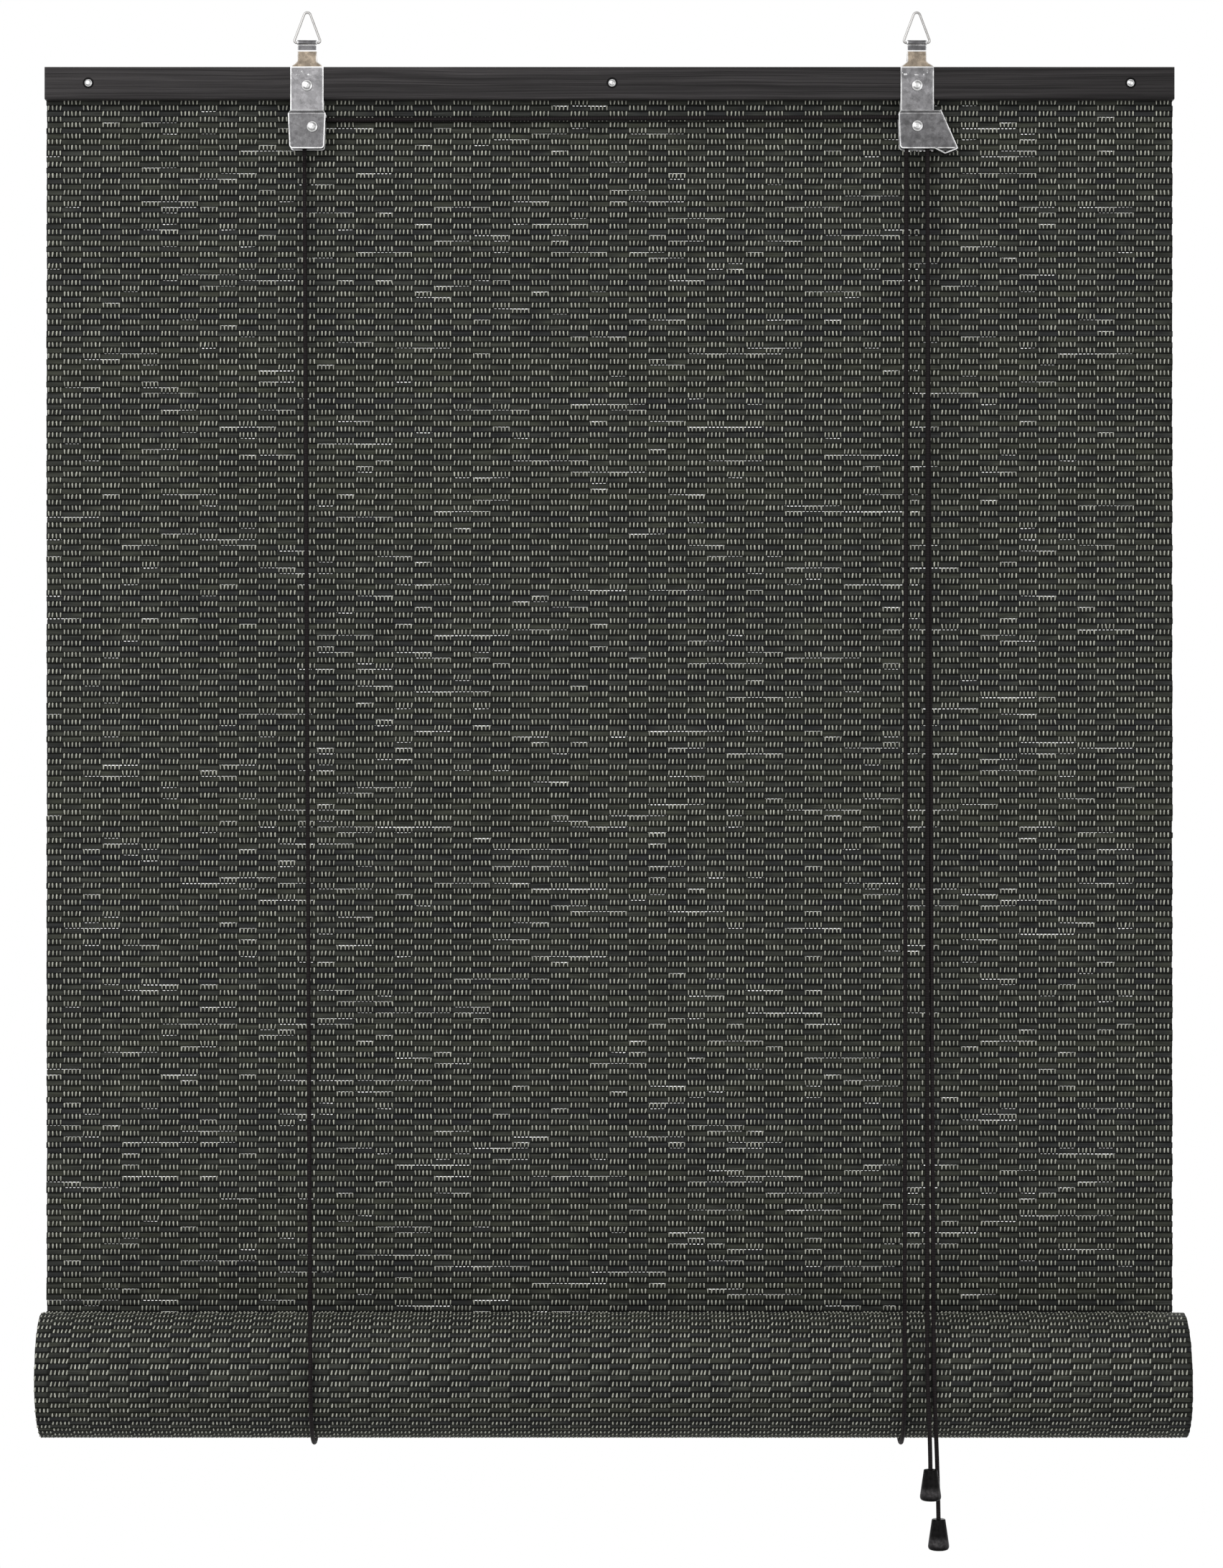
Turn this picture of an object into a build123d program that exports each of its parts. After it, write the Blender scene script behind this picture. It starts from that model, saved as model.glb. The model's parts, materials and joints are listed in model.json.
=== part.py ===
from build123d import *
import os
from math import acos, asin, atan2, cos, degrees, hypot, pi, radians, sin, tan

# Bamboo roll-up blind, drawn part of the way up. Millimetres.
# X runs along the head rail, Y from the room towards the wall, Z up.
# The origin lies midway between the two hanging eyes, where their hooks bear.

# Woven mat of slats, a little to one side of the middle of the hangers
mat_width = 800.0
mat_shift = -1.8
mat_drop = 920.0
slat_pitch = 4.0
slat_thickness = 2.2
slat_groove = 0.7
slat_bevel = 0.8
thread_band = 13.9

# Open slits of the mat, stepped over its rows and thread bands so that they lie scattered
slit_height = 0.4
slit_count = 40
slit_row_step = 61
slit_band_step = 23
slit_margin_bands = 2
slit_shortest_bands = 3
slit_longest_bands = 6

# Roll of spare mat, wound loosely on the bottom batten
roll_radius = 46.0
roll_wind = 4.4
roll_creep = 3.5
roll_gap = 0.2
core_play = 0.3
bottom_batten_width = 22.0
bottom_batten_depth = 8.0
facets_per_turn = 20

# Head rail of two battens, with the top of the mat between them
batten_height = 22.8
front_batten_depth = 9.0
back_batten_depth = 7.0
batten_bevel = 0.8
clamp_from_end = 31.0
clamp_shank = 1.5
clamp_head = 3.2
clamp_head_rise = 1.7
clamp_sink = 0.5
clamp_rim = 0.6

# Hanger folded from one strip of sheet
hanger_reach = 216.0
sheet = 0.8
neck_width = 14.0
neck_rise = 6.0
plate_width = 23.4
shoulder_rise = 11.7
flare_rise = 4.0
joggle = 2.0
joggle_below_rail = 8.0
joggle_height = 2.4
housing_below_rail = 35.2
cheek_top = 13.3
cheek_bottom = 12.2
corner_round = 2.4
soft_round = 1.0
hanger_play = 0.1

# Wedge side of the cord lock
wedge_top = 16.8
wedge_bottom = 28.8
lip_drop = 3.4
lip_middle = 19.6
lip_end = 12.2

# Triangular wire ring
wire = 1.8
ring_play = 0.1
ring_half_base = 9.7
ring_height = 21.4
ring_corner = 1.5
ring_apex = 2.4

# Rivets of the hangers
hanger_rivet_below_top = 13.3
hanger_rivet_shank = 1.8
hanger_rivet_head = 4.0
hanger_rivet_rise = 1.6
axle_radius = 2.0
axle_head = 4.0
axle_head_rise = 1.8
rivet_crown_share = 0.62
rivet_edge_share = 0.4
rivet_play = 0.05
axle_play = 0.08

# Pulleys and lock roller
guide_pitch = 6.0
guide_offset = 3.9
guide_axle_below_rail = 20.0
lock_pitch = 7.5
lock_axle_below_rail = 19.4
pulley_side_play = 0.3
groove_width = 3.6
front_flange = 1.0
rear_flange = 0.7
flange_rise = 0.9
pulley_hub = 3.6
roller_radius = 4.5
roller_teeth = 18
roller_tooth = 0.4
roller_play = 0.3

# Cords
cord = 3.0
cord_sides = 8
cord_play = 0.3
cord_hole_play = 0.25
cord_joint = 0.2
cord_exit_below_housing = 6.0
pull_cord_lift = 0.6
left_sling_inset = 8.1
right_sling_inset = 14.4
knot_radius = 3.3
knot_height_share = 0.85
knot_bevel_share = 0.35

# Bell-shaped pulls
pull_length = 21.4
pull_top = 4.7
pull_bottom = 7.35
pull_edge = 2.8
pull_cup_depth = 9.0
pull_cup_play = 0.35
pull_tail_rise = 12.0
pull_tail_bend_share = 0.45

# Where the pull cords cross the roll and where the pulls hang, from the lock and the middle of the roll
upper_lead_offset = 1.1
lower_lead_offset = 5.7
upper_pull_offset = 2.8
lower_pull_offset = 8.9
upper_pull_before_roll = 56.1
lower_pull_before_roll = 48.5
upper_pull_below_roll = 58.4
lower_pull_below_roll = 93.7

# One length for everything that has to reach past a solid
overrun = 6.0

# Heights, from the eyes down
curl_z = wire / 2 - ring_height
crease_z = curl_z - neck_rise
rail_top = crease_z - shoulder_rise
rail_bottom = rail_top - batten_height
rail_middle = (rail_top + rail_bottom) / 2
joggle_z = rail_bottom - joggle_below_rail
housing_z = rail_bottom - housing_below_rail
guide_axle_z = rail_bottom - guide_axle_below_rail
lock_axle_z = rail_bottom - lock_axle_below_rail
roll_z = rail_top - mat_drop

# Depths, from the room to the wall, about the plane of the rings
leg_y = (front_batten_depth - sheet) / 2
rail_front = -leg_y
rail_back = leg_y + sheet
mat_front = rail_back
mat_back = mat_front + slat_thickness
wall_face = mat_back + back_batten_depth
roll_y = mat_back - roll_radius
housing_front = -leg_y - joggle
pulley_front = housing_front + pulley_side_play
pulley_back = leg_y - pulley_side_play
pulley_width = pulley_back - pulley_front
front_groove_y = pulley_front + front_flange + groove_width / 2
rear_groove_y = pulley_back - rear_flange - groove_width / 2

# Places along the rail
clamp_reach = mat_width / 2 - clamp_from_end
left_sling_x = left_sling_inset - hanger_reach
right_sling_x = hanger_reach - right_sling_inset

# Cord geometry that several pieces share
cord_radius = cord / 2
guide_x = -hanger_reach + guide_offset
lock_x = hanger_reach
sling_radius = roll_radius + cord_play + cord_radius
pull_cord_radius = roll_radius + pull_cord_lift + cord_radius
cord_hole_y = mat_back + back_batten_depth / 2
cord_exit_z = housing_z - cord_exit_below_housing

# Lift travel: a whole number of turns of the roll, clear of the hangers
lift_turns = 3
lift_radius = roll_radius - roll_wind / 2 - slat_thickness / 2
lift_travel = 2 * pi * lift_turns * lift_radius


def cylinder_along(start, end, radius):
    """Round bar from one point to another."""
    span = Vector(*end) - Vector(*start)
    seat = (Align.CENTER, Align.CENTER, Align.MIN)
    return Plane(origin=start, z_dir=span) * Cylinder(radius, span.length, align=seat)


def cord_section(start, direction):
    """Section of a cord at a point: a regular polygon in the circle of the cord."""
    return Plane(origin=start, z_dir=direction) * RegularPolygon(cord_radius, cord_sides)


def cord_run(start, end):
    """Straight stretch of cord, a joint's width short of its neighbours."""
    span = Vector(*end) - Vector(*start)
    first = Vector(*start) + span.normalized() * (cord_joint / 2)
    return extrude(cord_section(first, span), span.length - cord_joint)


def cord_bend(hub, axis, start, angle):
    """Cord bent about an axis through hub, from start through an angle in degrees."""
    tangent = Vector(*axis).cross(Vector(*start) - Vector(*hub))
    return revolve(cord_section(start, tangent), Axis(hub, axis), angle)


def turned(edges, origin, direction):
    """Solid of revolution from edges drawn as radius and height along a direction."""
    profile = Plane.XZ * make_face(edges)
    return Plane(origin=origin, z_dir=direction) * revolve(profile, Axis.Z)


def headed(head, rise, shank, length):
    """Outline of a rivet: a bevelled head on the near side of its seat, and a plain shank."""
    crown = head * rivet_crown_share
    edge = -rise * rivet_edge_share
    return Polyline(
        (0, -rise), (crown, -rise), (head, edge), (head, 0), (shank, 0), (shank, length), (0, length),
        close=True,
    )


def hole_through_y(x, z, radius):
    """Cutter along Y through the whole head rail."""
    start = (x, housing_front - sheet - overrun, z)
    return cylinder_along(start, (x, wall_face + overrun, z), radius)


def batten(front, depth):
    """Lath as wide as the mat, with its front face at a depth."""
    section = Rectangle(depth, batten_height)
    section = chamfer(section.vertices(), batten_bevel)
    lath = extrude(Plane.YZ * Pos(front + depth / 2, rail_middle) * section, mat_width / 2, both=True)
    return Pos(mat_shift, 0, 0) * lath


def clamp_places():
    """Places of the rivets along the head rail."""
    return [mat_shift - clamp_reach, 0, mat_shift + clamp_reach]


def front_batten():
    """Front lath: sunk rivet heads, and a recess behind for the back leg of each hanger."""
    lath = batten(rail_front, front_batten_depth)
    for x in clamp_places():
        lath -= hole_through_y(x, rail_middle, clamp_shank + rivet_play)
        floor = (x, rail_front + clamp_sink, rail_middle)
        lath -= cylinder_along((x, rail_front - overrun, rail_middle), floor, clamp_head + clamp_rim)
    for x in (-hanger_reach, hanger_reach):
        recess = Box(plate_width + 2 * hanger_play, sheet, batten_height + 2 * overrun)
        lath -= Pos(x, rail_back - sheet / 2, rail_middle) * recess
        lath -= hole_through_y(x, rail_top - hanger_rivet_below_top, hanger_rivet_shank + rivet_play)
    return lath


def back_batten():
    """Back lath: rivet holes, and a hole along the line of each lift cord."""
    lath = batten(mat_back, back_batten_depth)
    for x in clamp_places():
        lath -= hole_through_y(x, rail_middle, clamp_shank + rivet_play)
    for foot, seat in (left_back_line, right_back_line):
        above_seat = Vector(*seat) + (Vector(*seat) - Vector(*foot)).normalized() * overrun
        lath -= cylinder_along(foot, above_seat, cord_radius + cord_hole_play)
    return lath


def clamp_rivets():
    """Rivets through both laths, with sunk heads in front, flush with the wall face."""
    seat = rail_front + clamp_sink
    length = wall_face - seat
    edges = headed(clamp_head, clamp_head_rise, clamp_shank, length)
    return [turned(edges, (x, seat, rail_middle), (0, 1, 0)) for x in clamp_places()]


def hanging_mat():
    """Slats between the head rail and the roll: one wall with ridges on both faces and open slits."""
    slats = round(mat_drop / slat_pitch)
    front = []
    back = []
    for slat in range(slats):
        top = rail_top - slat * slat_pitch
        bottom = top - slat_pitch
        front.append((mat_front + slat_groove, top))
        front += [(mat_front, top - slat_bevel), (mat_front, bottom + slat_bevel)]
        back += [(mat_back - slat_groove, top), (mat_back, (top + bottom) / 2)]
    end = rail_top - slats * slat_pitch + roll_gap
    outline = front + [(mat_front + slat_groove, end), (mat_back - slat_groove, end)] + back[::-1]
    wall = extrude(Plane.YZ * make_face(Polyline(*outline, close=True)), mat_width / 2, both=True)
    wall = Pos(mat_shift, 0, 0) * wall
    for x in clamp_places():
        wall -= hole_through_y(x, rail_middle, clamp_shank + rivet_play)
    return wall - mat_slits()


def mat_slits():
    """Gaps where two slats stand apart, a few thread bands long, scattered over the hanging mat."""
    first = round((rail_top - cord_exit_z) / slat_pitch)
    rows = round((mat_drop - roll_radius) / slat_pitch) - first
    places = int(mat_width / thread_band) - 2 * slit_margin_bands - slit_longest_bands
    lengths = slit_longest_bands - slit_shortest_bands + 1
    left = mat_shift - mat_width / 2
    slits = []
    for number in range(slit_count):
        z = rail_top - (first + number * slit_row_step % rows) * slat_pitch
        length = (slit_shortest_bands + number % lengths) * thread_band
        x = left + (slit_margin_bands + number * slit_band_step % places) * thread_band
        block = Box(length, 2 * slat_thickness, slit_height, align=(Align.MIN, Align.CENTER, Align.CENTER))
        slits.append(Pos(x, (mat_front + mat_back) / 2, z) * block)
    return slits


def wound_radius(angle):
    """Outside radius of the roll, by the angle wound from where it leaves the hanging mat."""
    return roll_radius - roll_wind * angle / (2 * pi)


def wound_point(angle, inset):
    """Point of the winding: down behind, under, up in front and over."""
    radius = wound_radius(angle) - inset
    return (roll_y + radius * cos(angle), roll_z - radius * sin(angle))


def core_radius():
    """Half the diagonal of the bottom batten."""
    return hypot(bottom_batten_width, bottom_batten_depth) / 2


def wound_angle():
    """Whole angle of the winding, in to the bottom batten."""
    return 2 * pi * (roll_radius - slat_thickness - core_radius() - core_play) / roll_wind


def rolled_mat():
    """The roll: one long spiral wall, with the ridges of its slats on the outermost turn."""
    end = wound_angle()
    facet = 2 * pi / facets_per_turn
    outside = []
    angle = 0
    while angle < 2 * pi:
        step = slat_pitch / wound_radius(angle)
        bevel = slat_bevel / wound_radius(angle)
        outside.append(wound_point(angle, slat_groove))
        outside.append(wound_point(angle + bevel, 0))
        outside.append(wound_point(angle + step - bevel, 0))
        angle += step
    outside.append(wound_point(angle, slat_groove))
    plain = int((end - angle) / facet)
    outside += [wound_point(end - facet * number, 0) for number in range(plain - 1, -1, -1)]
    turns = int(end / facet)
    inside = [wound_point(end - facet * number, slat_thickness) for number in range(turns + 1)]
    inside.append(wound_point(0, slat_thickness))
    section = make_face(Polyline(*outside, *inside, close=True))
    return Pos(mat_shift + roll_creep, 0, 0) * extrude(Plane.YZ * section, mat_width / 2, both=True)


def bottom_batten():
    """Lath in the core of the roll, turned so that the end of the mat bears on its corner."""
    corner = atan2(bottom_batten_depth, bottom_batten_width)
    tilt = -degrees(wound_angle() - 2 * corner)
    section = Pos(roll_y, roll_z) * Rot(0, 0, tilt) * Rectangle(bottom_batten_width, bottom_batten_depth)
    return Pos(mat_shift + roll_creep, 0, 0) * extrude(Plane.YZ * section, mat_width / 2, both=True)


def strip_section():
    """Folded strip of a hanger seen from its side: curl, pinched neck, shoulders and two legs."""
    lean = atan2(leg_y, shoulder_rise)
    shoulder = rail_top + sheet * tan(lean / 2)
    crease = rail_top + sheet * sin(lean) + (leg_y - sheet * (1 - cos(lean))) / tan(lean)
    low = joggle_z - joggle_height
    strip = make_face(Polyline(
        (housing_front - sheet, housing_z), (housing_front - sheet, low), (-leg_y - sheet, joggle_z),
        (-leg_y - sheet, shoulder), (-sheet, crease), (-sheet, curl_z), (sheet, curl_z), (sheet, crease),
        (leg_y + sheet, shoulder), (leg_y + sheet, housing_z), (leg_y, housing_z), (leg_y, rail_top),
        (0, crease_z), (-leg_y, rail_top), (-leg_y, joggle_z),
        (housing_front, low), (housing_front, housing_z),
        close=True,
    ))
    bore = wire / 2 + ring_play
    return strip + Pos(0, curl_z) * Circle(bore + sheet) - Pos(0, curl_z) * Circle(bore)


def hanger(outline, radii, center_x, axle_x, axle_z):
    """Folded hanger trimmed to a front outline, with its two rivet holes."""
    strip = extrude(Plane.YZ * strip_section(), wedge_bottom + overrun, both=True)
    face = make_face(FilletPolyline(*outline, radius=radii, close=True))
    trim = extrude(Plane.XZ * face, front_batten_depth + overrun, both=True)
    folded = Pos(center_x, 0, 0) * (strip & trim)
    rivet_z = rail_top - hanger_rivet_below_top
    folded -= hole_through_y(center_x, rivet_z, hanger_rivet_shank + rivet_play)
    folded -= hole_through_y(axle_x, axle_z, axle_radius + rivet_play)
    return folded


def upper_outline():
    """Left half of the neck, flare and plate that both hangers share, from the top down."""
    top = curl_z + wire + sheet + overrun
    neck = neck_width / 2
    plate = plate_width / 2
    points = [(-neck, top), (-neck, rail_top + flare_rise), (-plate, rail_top), (-plate, joggle_z)]
    return points, [0, 0, soft_round, 0]


def mirrored(points):
    """The same points on the other side, in reverse order."""
    return [(-x, z) for x, z in reversed(points)]


def pulley_hanger():
    """Left hanger: two equal cheeks that carry the guide pulley."""
    upper, rounds = upper_outline()
    left = upper + [(-cheek_top, joggle_z - joggle_height), (-cheek_bottom, housing_z)]
    radii = rounds + [soft_round, corner_round]
    return hanger(left + mirrored(left), radii + radii[::-1], -hanger_reach, guide_x, guide_axle_z)


def wedge_path():
    """Middle of the slanted wall and the lip under it, in the front view of the lock."""
    slope = hypot(wedge_bottom - wedge_top, joggle_z - housing_z) / (joggle_z - housing_z)
    inset = sheet / 2 * slope
    top = (wedge_top - inset, joggle_z)
    bottom = (wedge_bottom - inset, housing_z)
    return [top, bottom, (lip_middle, housing_z - lip_drop), (lip_end, housing_z + sheet / 2)]


def lock_hanger():
    """Right hanger: cheeks widened into a wedge, closed by a slanted wall that turns under as a lip."""
    upper, rounds = upper_outline()
    left = upper + [(-cheek_top, joggle_z - joggle_height), (-cheek_bottom, housing_z)]
    right = [(wedge_bottom, housing_z), (wedge_top, joggle_z)] + mirrored(upper)
    radii = rounds + [soft_round, corner_round, 0, 0] + rounds[::-1]
    folded = hanger(left + right, radii, hanger_reach, lock_x, lock_axle_z)
    wall = trace(FilletPolyline(*wedge_path(), radius=soft_round), sheet)
    depth = leg_y + sheet - (housing_front - sheet)
    flange = extrude(Plane.XZ * wall, depth)
    return folded + Pos(hanger_reach, leg_y + sheet, 0) * flange


def hanger_rivets():
    """Rivets that fix the hangers to the front lath, flush behind."""
    seat = -leg_y - sheet
    length = leg_y + sheet - seat
    edges = headed(hanger_rivet_head, hanger_rivet_rise, hanger_rivet_shank, length)
    z = rail_top - hanger_rivet_below_top
    return [turned(edges, (x, seat, z), (0, 1, 0)) for x in (-hanger_reach, hanger_reach)]


def axle(x, z):
    """Axle rivet across a housing, headed in front and flush behind."""
    seat = housing_front - sheet
    length = leg_y + sheet - seat
    edges = headed(axle_head, axle_head_rise, axle_radius, length)
    return turned(edges, (x, seat, z), (0, 1, 0))


def ring(center_x):
    """Triangular wire ring standing in the curl of a hanger: three straight sides and three bends."""
    center = ring_height - ring_apex
    corner = atan2(center, ring_half_base) + asin(ring_apex / hypot(ring_half_base, center))
    cut = ring_corner / tan(corner / 2)
    side = (-cos(corner), sin(corner))
    foot = (ring_half_base + cut * side[0], curl_z + cut * side[1])
    top = (ring_apex * sin(corner), curl_z + center + ring_apex * cos(corner))
    half = cylinder_along((0, 0, curl_z), (ring_half_base - cut, 0, curl_z), wire / 2)
    half += bar_bend((ring_half_base - cut, 0, curl_z + ring_corner), (ring_half_base - cut, 0, curl_z),
                     -180 + degrees(corner))
    half += cylinder_along((foot[0], 0, foot[1]), (top[0], 0, top[1]), wire / 2)
    half += bar_bend((0, 0, curl_z + center), (top[0], 0, top[1]), -degrees(corner))
    return Pos(center_x, 0, 0) * (half + mirror(half, Plane.YZ))


def bar_bend(hub, start, angle):
    """Round wire bent about an axis along Y through hub, from start through an angle in degrees."""
    tangent = Vector(0, 1, 0).cross(Vector(*start) - Vector(*hub))
    section = Plane(origin=start, z_dir=tangent) * Circle(wire / 2)
    return revolve(section, Axis(hub, (0, 1, 0)), angle)


def groove_profile(middle, pitch):
    """Four points of a groove for the cord: rim, floor and rim, as radius and place along the axle."""
    floor = pitch - cord_radius - cord_play
    half = groove_width / 2
    rim = pitch + flange_rise
    return [(rim, middle - half), (floor, middle - half), (floor, middle + half), (rim, middle + half)]


def guide_pulley():
    """Grooved wheel in line with the rear groove of the lock, with a hub that keeps it there."""
    bore = axle_radius + axle_play
    rim = guide_pitch + flange_rise
    middle = rear_groove_y - pulley_front
    start = middle - groove_width / 2 - rear_flange
    outline = [(bore, 0), (pulley_hub, 0), (pulley_hub, start), (rim, start)]
    outline += groove_profile(middle, guide_pitch) + [(rim, pulley_width), (bore, pulley_width)]
    return turned(Polyline(*outline, close=True), (guide_x, pulley_front, guide_axle_z), (0, 1, 0))


def lock_pulley():
    """Wheel with two grooves, one behind the other, for both lift cords."""
    bore = axle_radius + axle_play
    rim = lock_pitch + flange_rise
    outline = [(bore, 0), (rim, 0)] + groove_profile(front_groove_y - pulley_front, lock_pitch)
    outline += groove_profile(rear_groove_y - pulley_front, lock_pitch)
    outline += [(rim, pulley_width), (bore, pulley_width)]
    return turned(Polyline(*outline, close=True), (lock_x, pulley_front, lock_axle_z), (0, 1, 0))


def wedge_slope():
    """Unit direction down the slanted wall of the lock, in X and Z."""
    top, bottom = wedge_path()[:2]
    length = hypot(bottom[0] - top[0], bottom[1] - top[1])
    return (bottom[0] - top[0]) / length, (bottom[1] - top[1]) / length


def roller_place():
    """Middle of the lock roller where it pinches the cords, in X and Z."""
    along_x, along_z = wedge_slope()
    stand = sheet / 2 + roller_play + roller_radius
    x = lock_pitch + cord_radius + roller_play + roller_radius
    top_x, top_z = wedge_path()[0]
    along = (x - top_x - along_z * stand) / along_x
    return lock_x + x, top_z - along_x * stand + along * along_z


def lock_roller():
    """Toothed roller, loose in the wedge between the slanted wall and the cords."""
    teeth = []
    for tooth in range(roller_teeth):
        for half, radius in ((0, roller_radius), (0.5, roller_radius - roller_tooth)):
            turn = 2 * pi * (tooth + half) / roller_teeth
            teeth.append((radius * cos(turn), radius * sin(turn)))
    x, z = roller_place()
    bar = extrude(Plane.XZ * make_face(Polyline(*teeth, close=True)), -pulley_width)
    return Pos(x, pulley_front, z) * bar


def roll_tangent(start_y, start_z, radius):
    """Where a cord from a pulley first lies on the front of the roll, in Y and Z."""
    away = hypot(start_y - roll_y, start_z - roll_z)
    turn = atan2(start_z - roll_z, start_y - roll_y) + acos(radius / away)
    return roll_y + radius * cos(turn), roll_z + radius * sin(turn)


def cross_slope():
    """Lean of the cord that crosses from the guide pulley to the lock, as an angle."""
    run = lock_x - guide_x
    rise = lock_axle_z - guide_axle_z
    return atan2(rise, run) - asin((guide_pitch - lock_pitch) / hypot(run, rise))


def cross_cord():
    """Left lift cord over the guide pulley, across to the lock and down through it."""
    lean = cross_slope()
    y = rear_groove_y
    lift = (-sin(lean), cos(lean))
    left = (guide_x + guide_pitch * lift[0], y, guide_axle_z + guide_pitch * lift[1])
    right = (lock_x + lock_pitch * lift[0], y, lock_axle_z + lock_pitch * lift[1])
    path = [
        Line(above(guide_exit), (guide_exit[0], y, guide_axle_z)),
        wrap((guide_x, y, guide_axle_z), guide_pitch, pi, lean + pi / 2),
        Line(left, right),
        wrap((lock_x, y, lock_axle_z), lock_pitch, lean + pi / 2, 0),
        Line((rear_exit[0], y, lock_axle_z), above(rear_exit)),
    ]
    return sweep(cord_section(above(guide_exit), (0, 0, 1)), path=Wire(path))


def above(place):
    """The same place a cord joint higher."""
    return place[0], place[1], place[2] + cord_joint


def wrap(hub, radius, first, last):
    """Arc of a cord over a pulley, between two angles from +X towards +Z."""
    def point(turn):
        return hub[0] + radius * cos(turn), hub[1], hub[2] + radius * sin(turn)
    return ThreePointArc(point(first), point((first + last) / 2), point(last))


def lock_turn_cord():
    """Right lift cord up into the lock, over the front groove of its pulley and down again."""
    y = front_groove_y
    path = [
        Line(above(front_entry), (front_entry[0], y, lock_axle_z)),
        wrap((lock_x, y, lock_axle_z), lock_pitch, pi, 0),
        Line((front_exit[0], y, lock_axle_z), above(front_exit)),
    ]
    return sweep(cord_section(above(front_entry), (0, 0, 1)), path=Wire(path))


def front_cord(start, sling_x):
    """Lift cord from a pulley down to the front of the roll."""
    y, z = roll_tangent(start[1], start[2], sling_radius)
    return cord_run(start, (sling_x, y, z))


def sling(start, sling_x):
    """Lift cord round the front and underside of the roll to the back of the mat."""
    y, z = roll_tangent(start[1], start[2], sling_radius)
    turn = degrees(atan2(z - roll_z, roll_y - y))
    return cord_bend((sling_x, roll_y, roll_z), (1, 0, 0), (sling_x, y, z), 180 + turn)


def back_line(sling_x, knot_x):
    """Line of a lift cord behind the mat, from the roll up to its knot on the back lath."""
    return (sling_x, roll_y + sling_radius, roll_z), (knot_x, cord_hole_y, rail_top)


def knot(seat, side):
    """Tied knot that bears on a flat seat: a faceted lump on the side that it stands on."""
    height = 2 * knot_radius * knot_height_share
    lump = extrude(RegularPolygon(knot_radius, cord_sides), height)
    ends = lump.faces().filter_by(Axis.Z).edges()
    lump = chamfer(ends, knot_radius * knot_bevel_share)
    return Plane(origin=seat, z_dir=(0, 0, side)) * lump


def lead_end(start, lead_x):
    """Where a pull cord crosses the front of the roll."""
    y, z = roll_tangent(start[1], start[2], pull_cord_radius)
    return lead_x, y, z


def pull_top_place(offset, before, below):
    """Top of a pull, beside the lock and in front of and below the middle of the roll."""
    return lock_x + offset, roll_y - before, roll_z - below


def knot_seat(place):
    """Point on the roof of a pull's cup where the knot bears."""
    return place[0], place[1], place[2] - pull_length + pull_cup_depth


def pull_tail(start, place):
    """Pull cord from the roll down into its pull: two straight runs and one large arc."""
    corner = (place[0], place[1], place[2] + pull_tail_rise)
    end = knot_seat(place)
    first = Vector(*corner) - Vector(*start)
    last = Vector(*end) - Vector(*corner)
    reach = pull_tail_bend_share * min(first.length, last.length)
    radius = reach / tan(radians(first.get_angle(last)) / 2)
    print("pull cord bend radius", round(radius, 1))
    begin = Vector(*start) + first.normalized() * cord_joint
    path = FilletPolyline(begin, corner, end, radius=radius)
    return sweep(cord_section(begin, path % 0), path=path)


def pull(place):
    """Bell-shaped pull with a cord hole and a cup for the knot."""
    foot = (pull_bottom, -pull_length + pull_edge)
    inset = pull_edge * (1 - cos(pi / 4))
    toe = (pull_bottom - inset, -pull_length + inset)
    sole = (pull_bottom - pull_edge, -pull_length)
    edges = [
        ThreePointArc(foot, toe, sole),
        Polyline(sole, (0, -pull_length), (0, 0), (pull_top, 0), foot),
    ]
    bell = turned(edges, place, (0, 0, 1))
    seat = knot_seat(place)
    below = (place[0], place[1], place[2] - pull_length - overrun)
    over = (place[0], place[1], place[2] + overrun)
    bell -= cylinder_along(below, seat, knot_radius + pull_cup_play)
    return bell - cylinder_along(below, over, cord_radius + cord_hole_play)


# Where the cords leave the housings, and their lines behind the mat, which end behind the hangers
guide_exit = (guide_x - guide_pitch, rear_groove_y, cord_exit_z)
front_entry = (lock_x - lock_pitch, front_groove_y, cord_exit_z)
front_exit = (lock_x + lock_pitch, front_groove_y, cord_exit_z)
rear_exit = (lock_x + lock_pitch, rear_groove_y, cord_exit_z)
left_back_line = back_line(left_sling_x, -hanger_reach)
right_back_line = back_line(right_sling_x, hanger_reach)
upper_lead_end = lead_end(front_exit, lock_x + upper_lead_offset)
lower_lead_end = lead_end(rear_exit, lock_x + lower_lead_offset)

# Tops of the pulls
upper_pull_place = pull_top_place(upper_pull_offset, upper_pull_before_roll, upper_pull_below_roll)
lower_pull_place = pull_top_place(lower_pull_offset, lower_pull_before_roll, lower_pull_below_roll)

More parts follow.
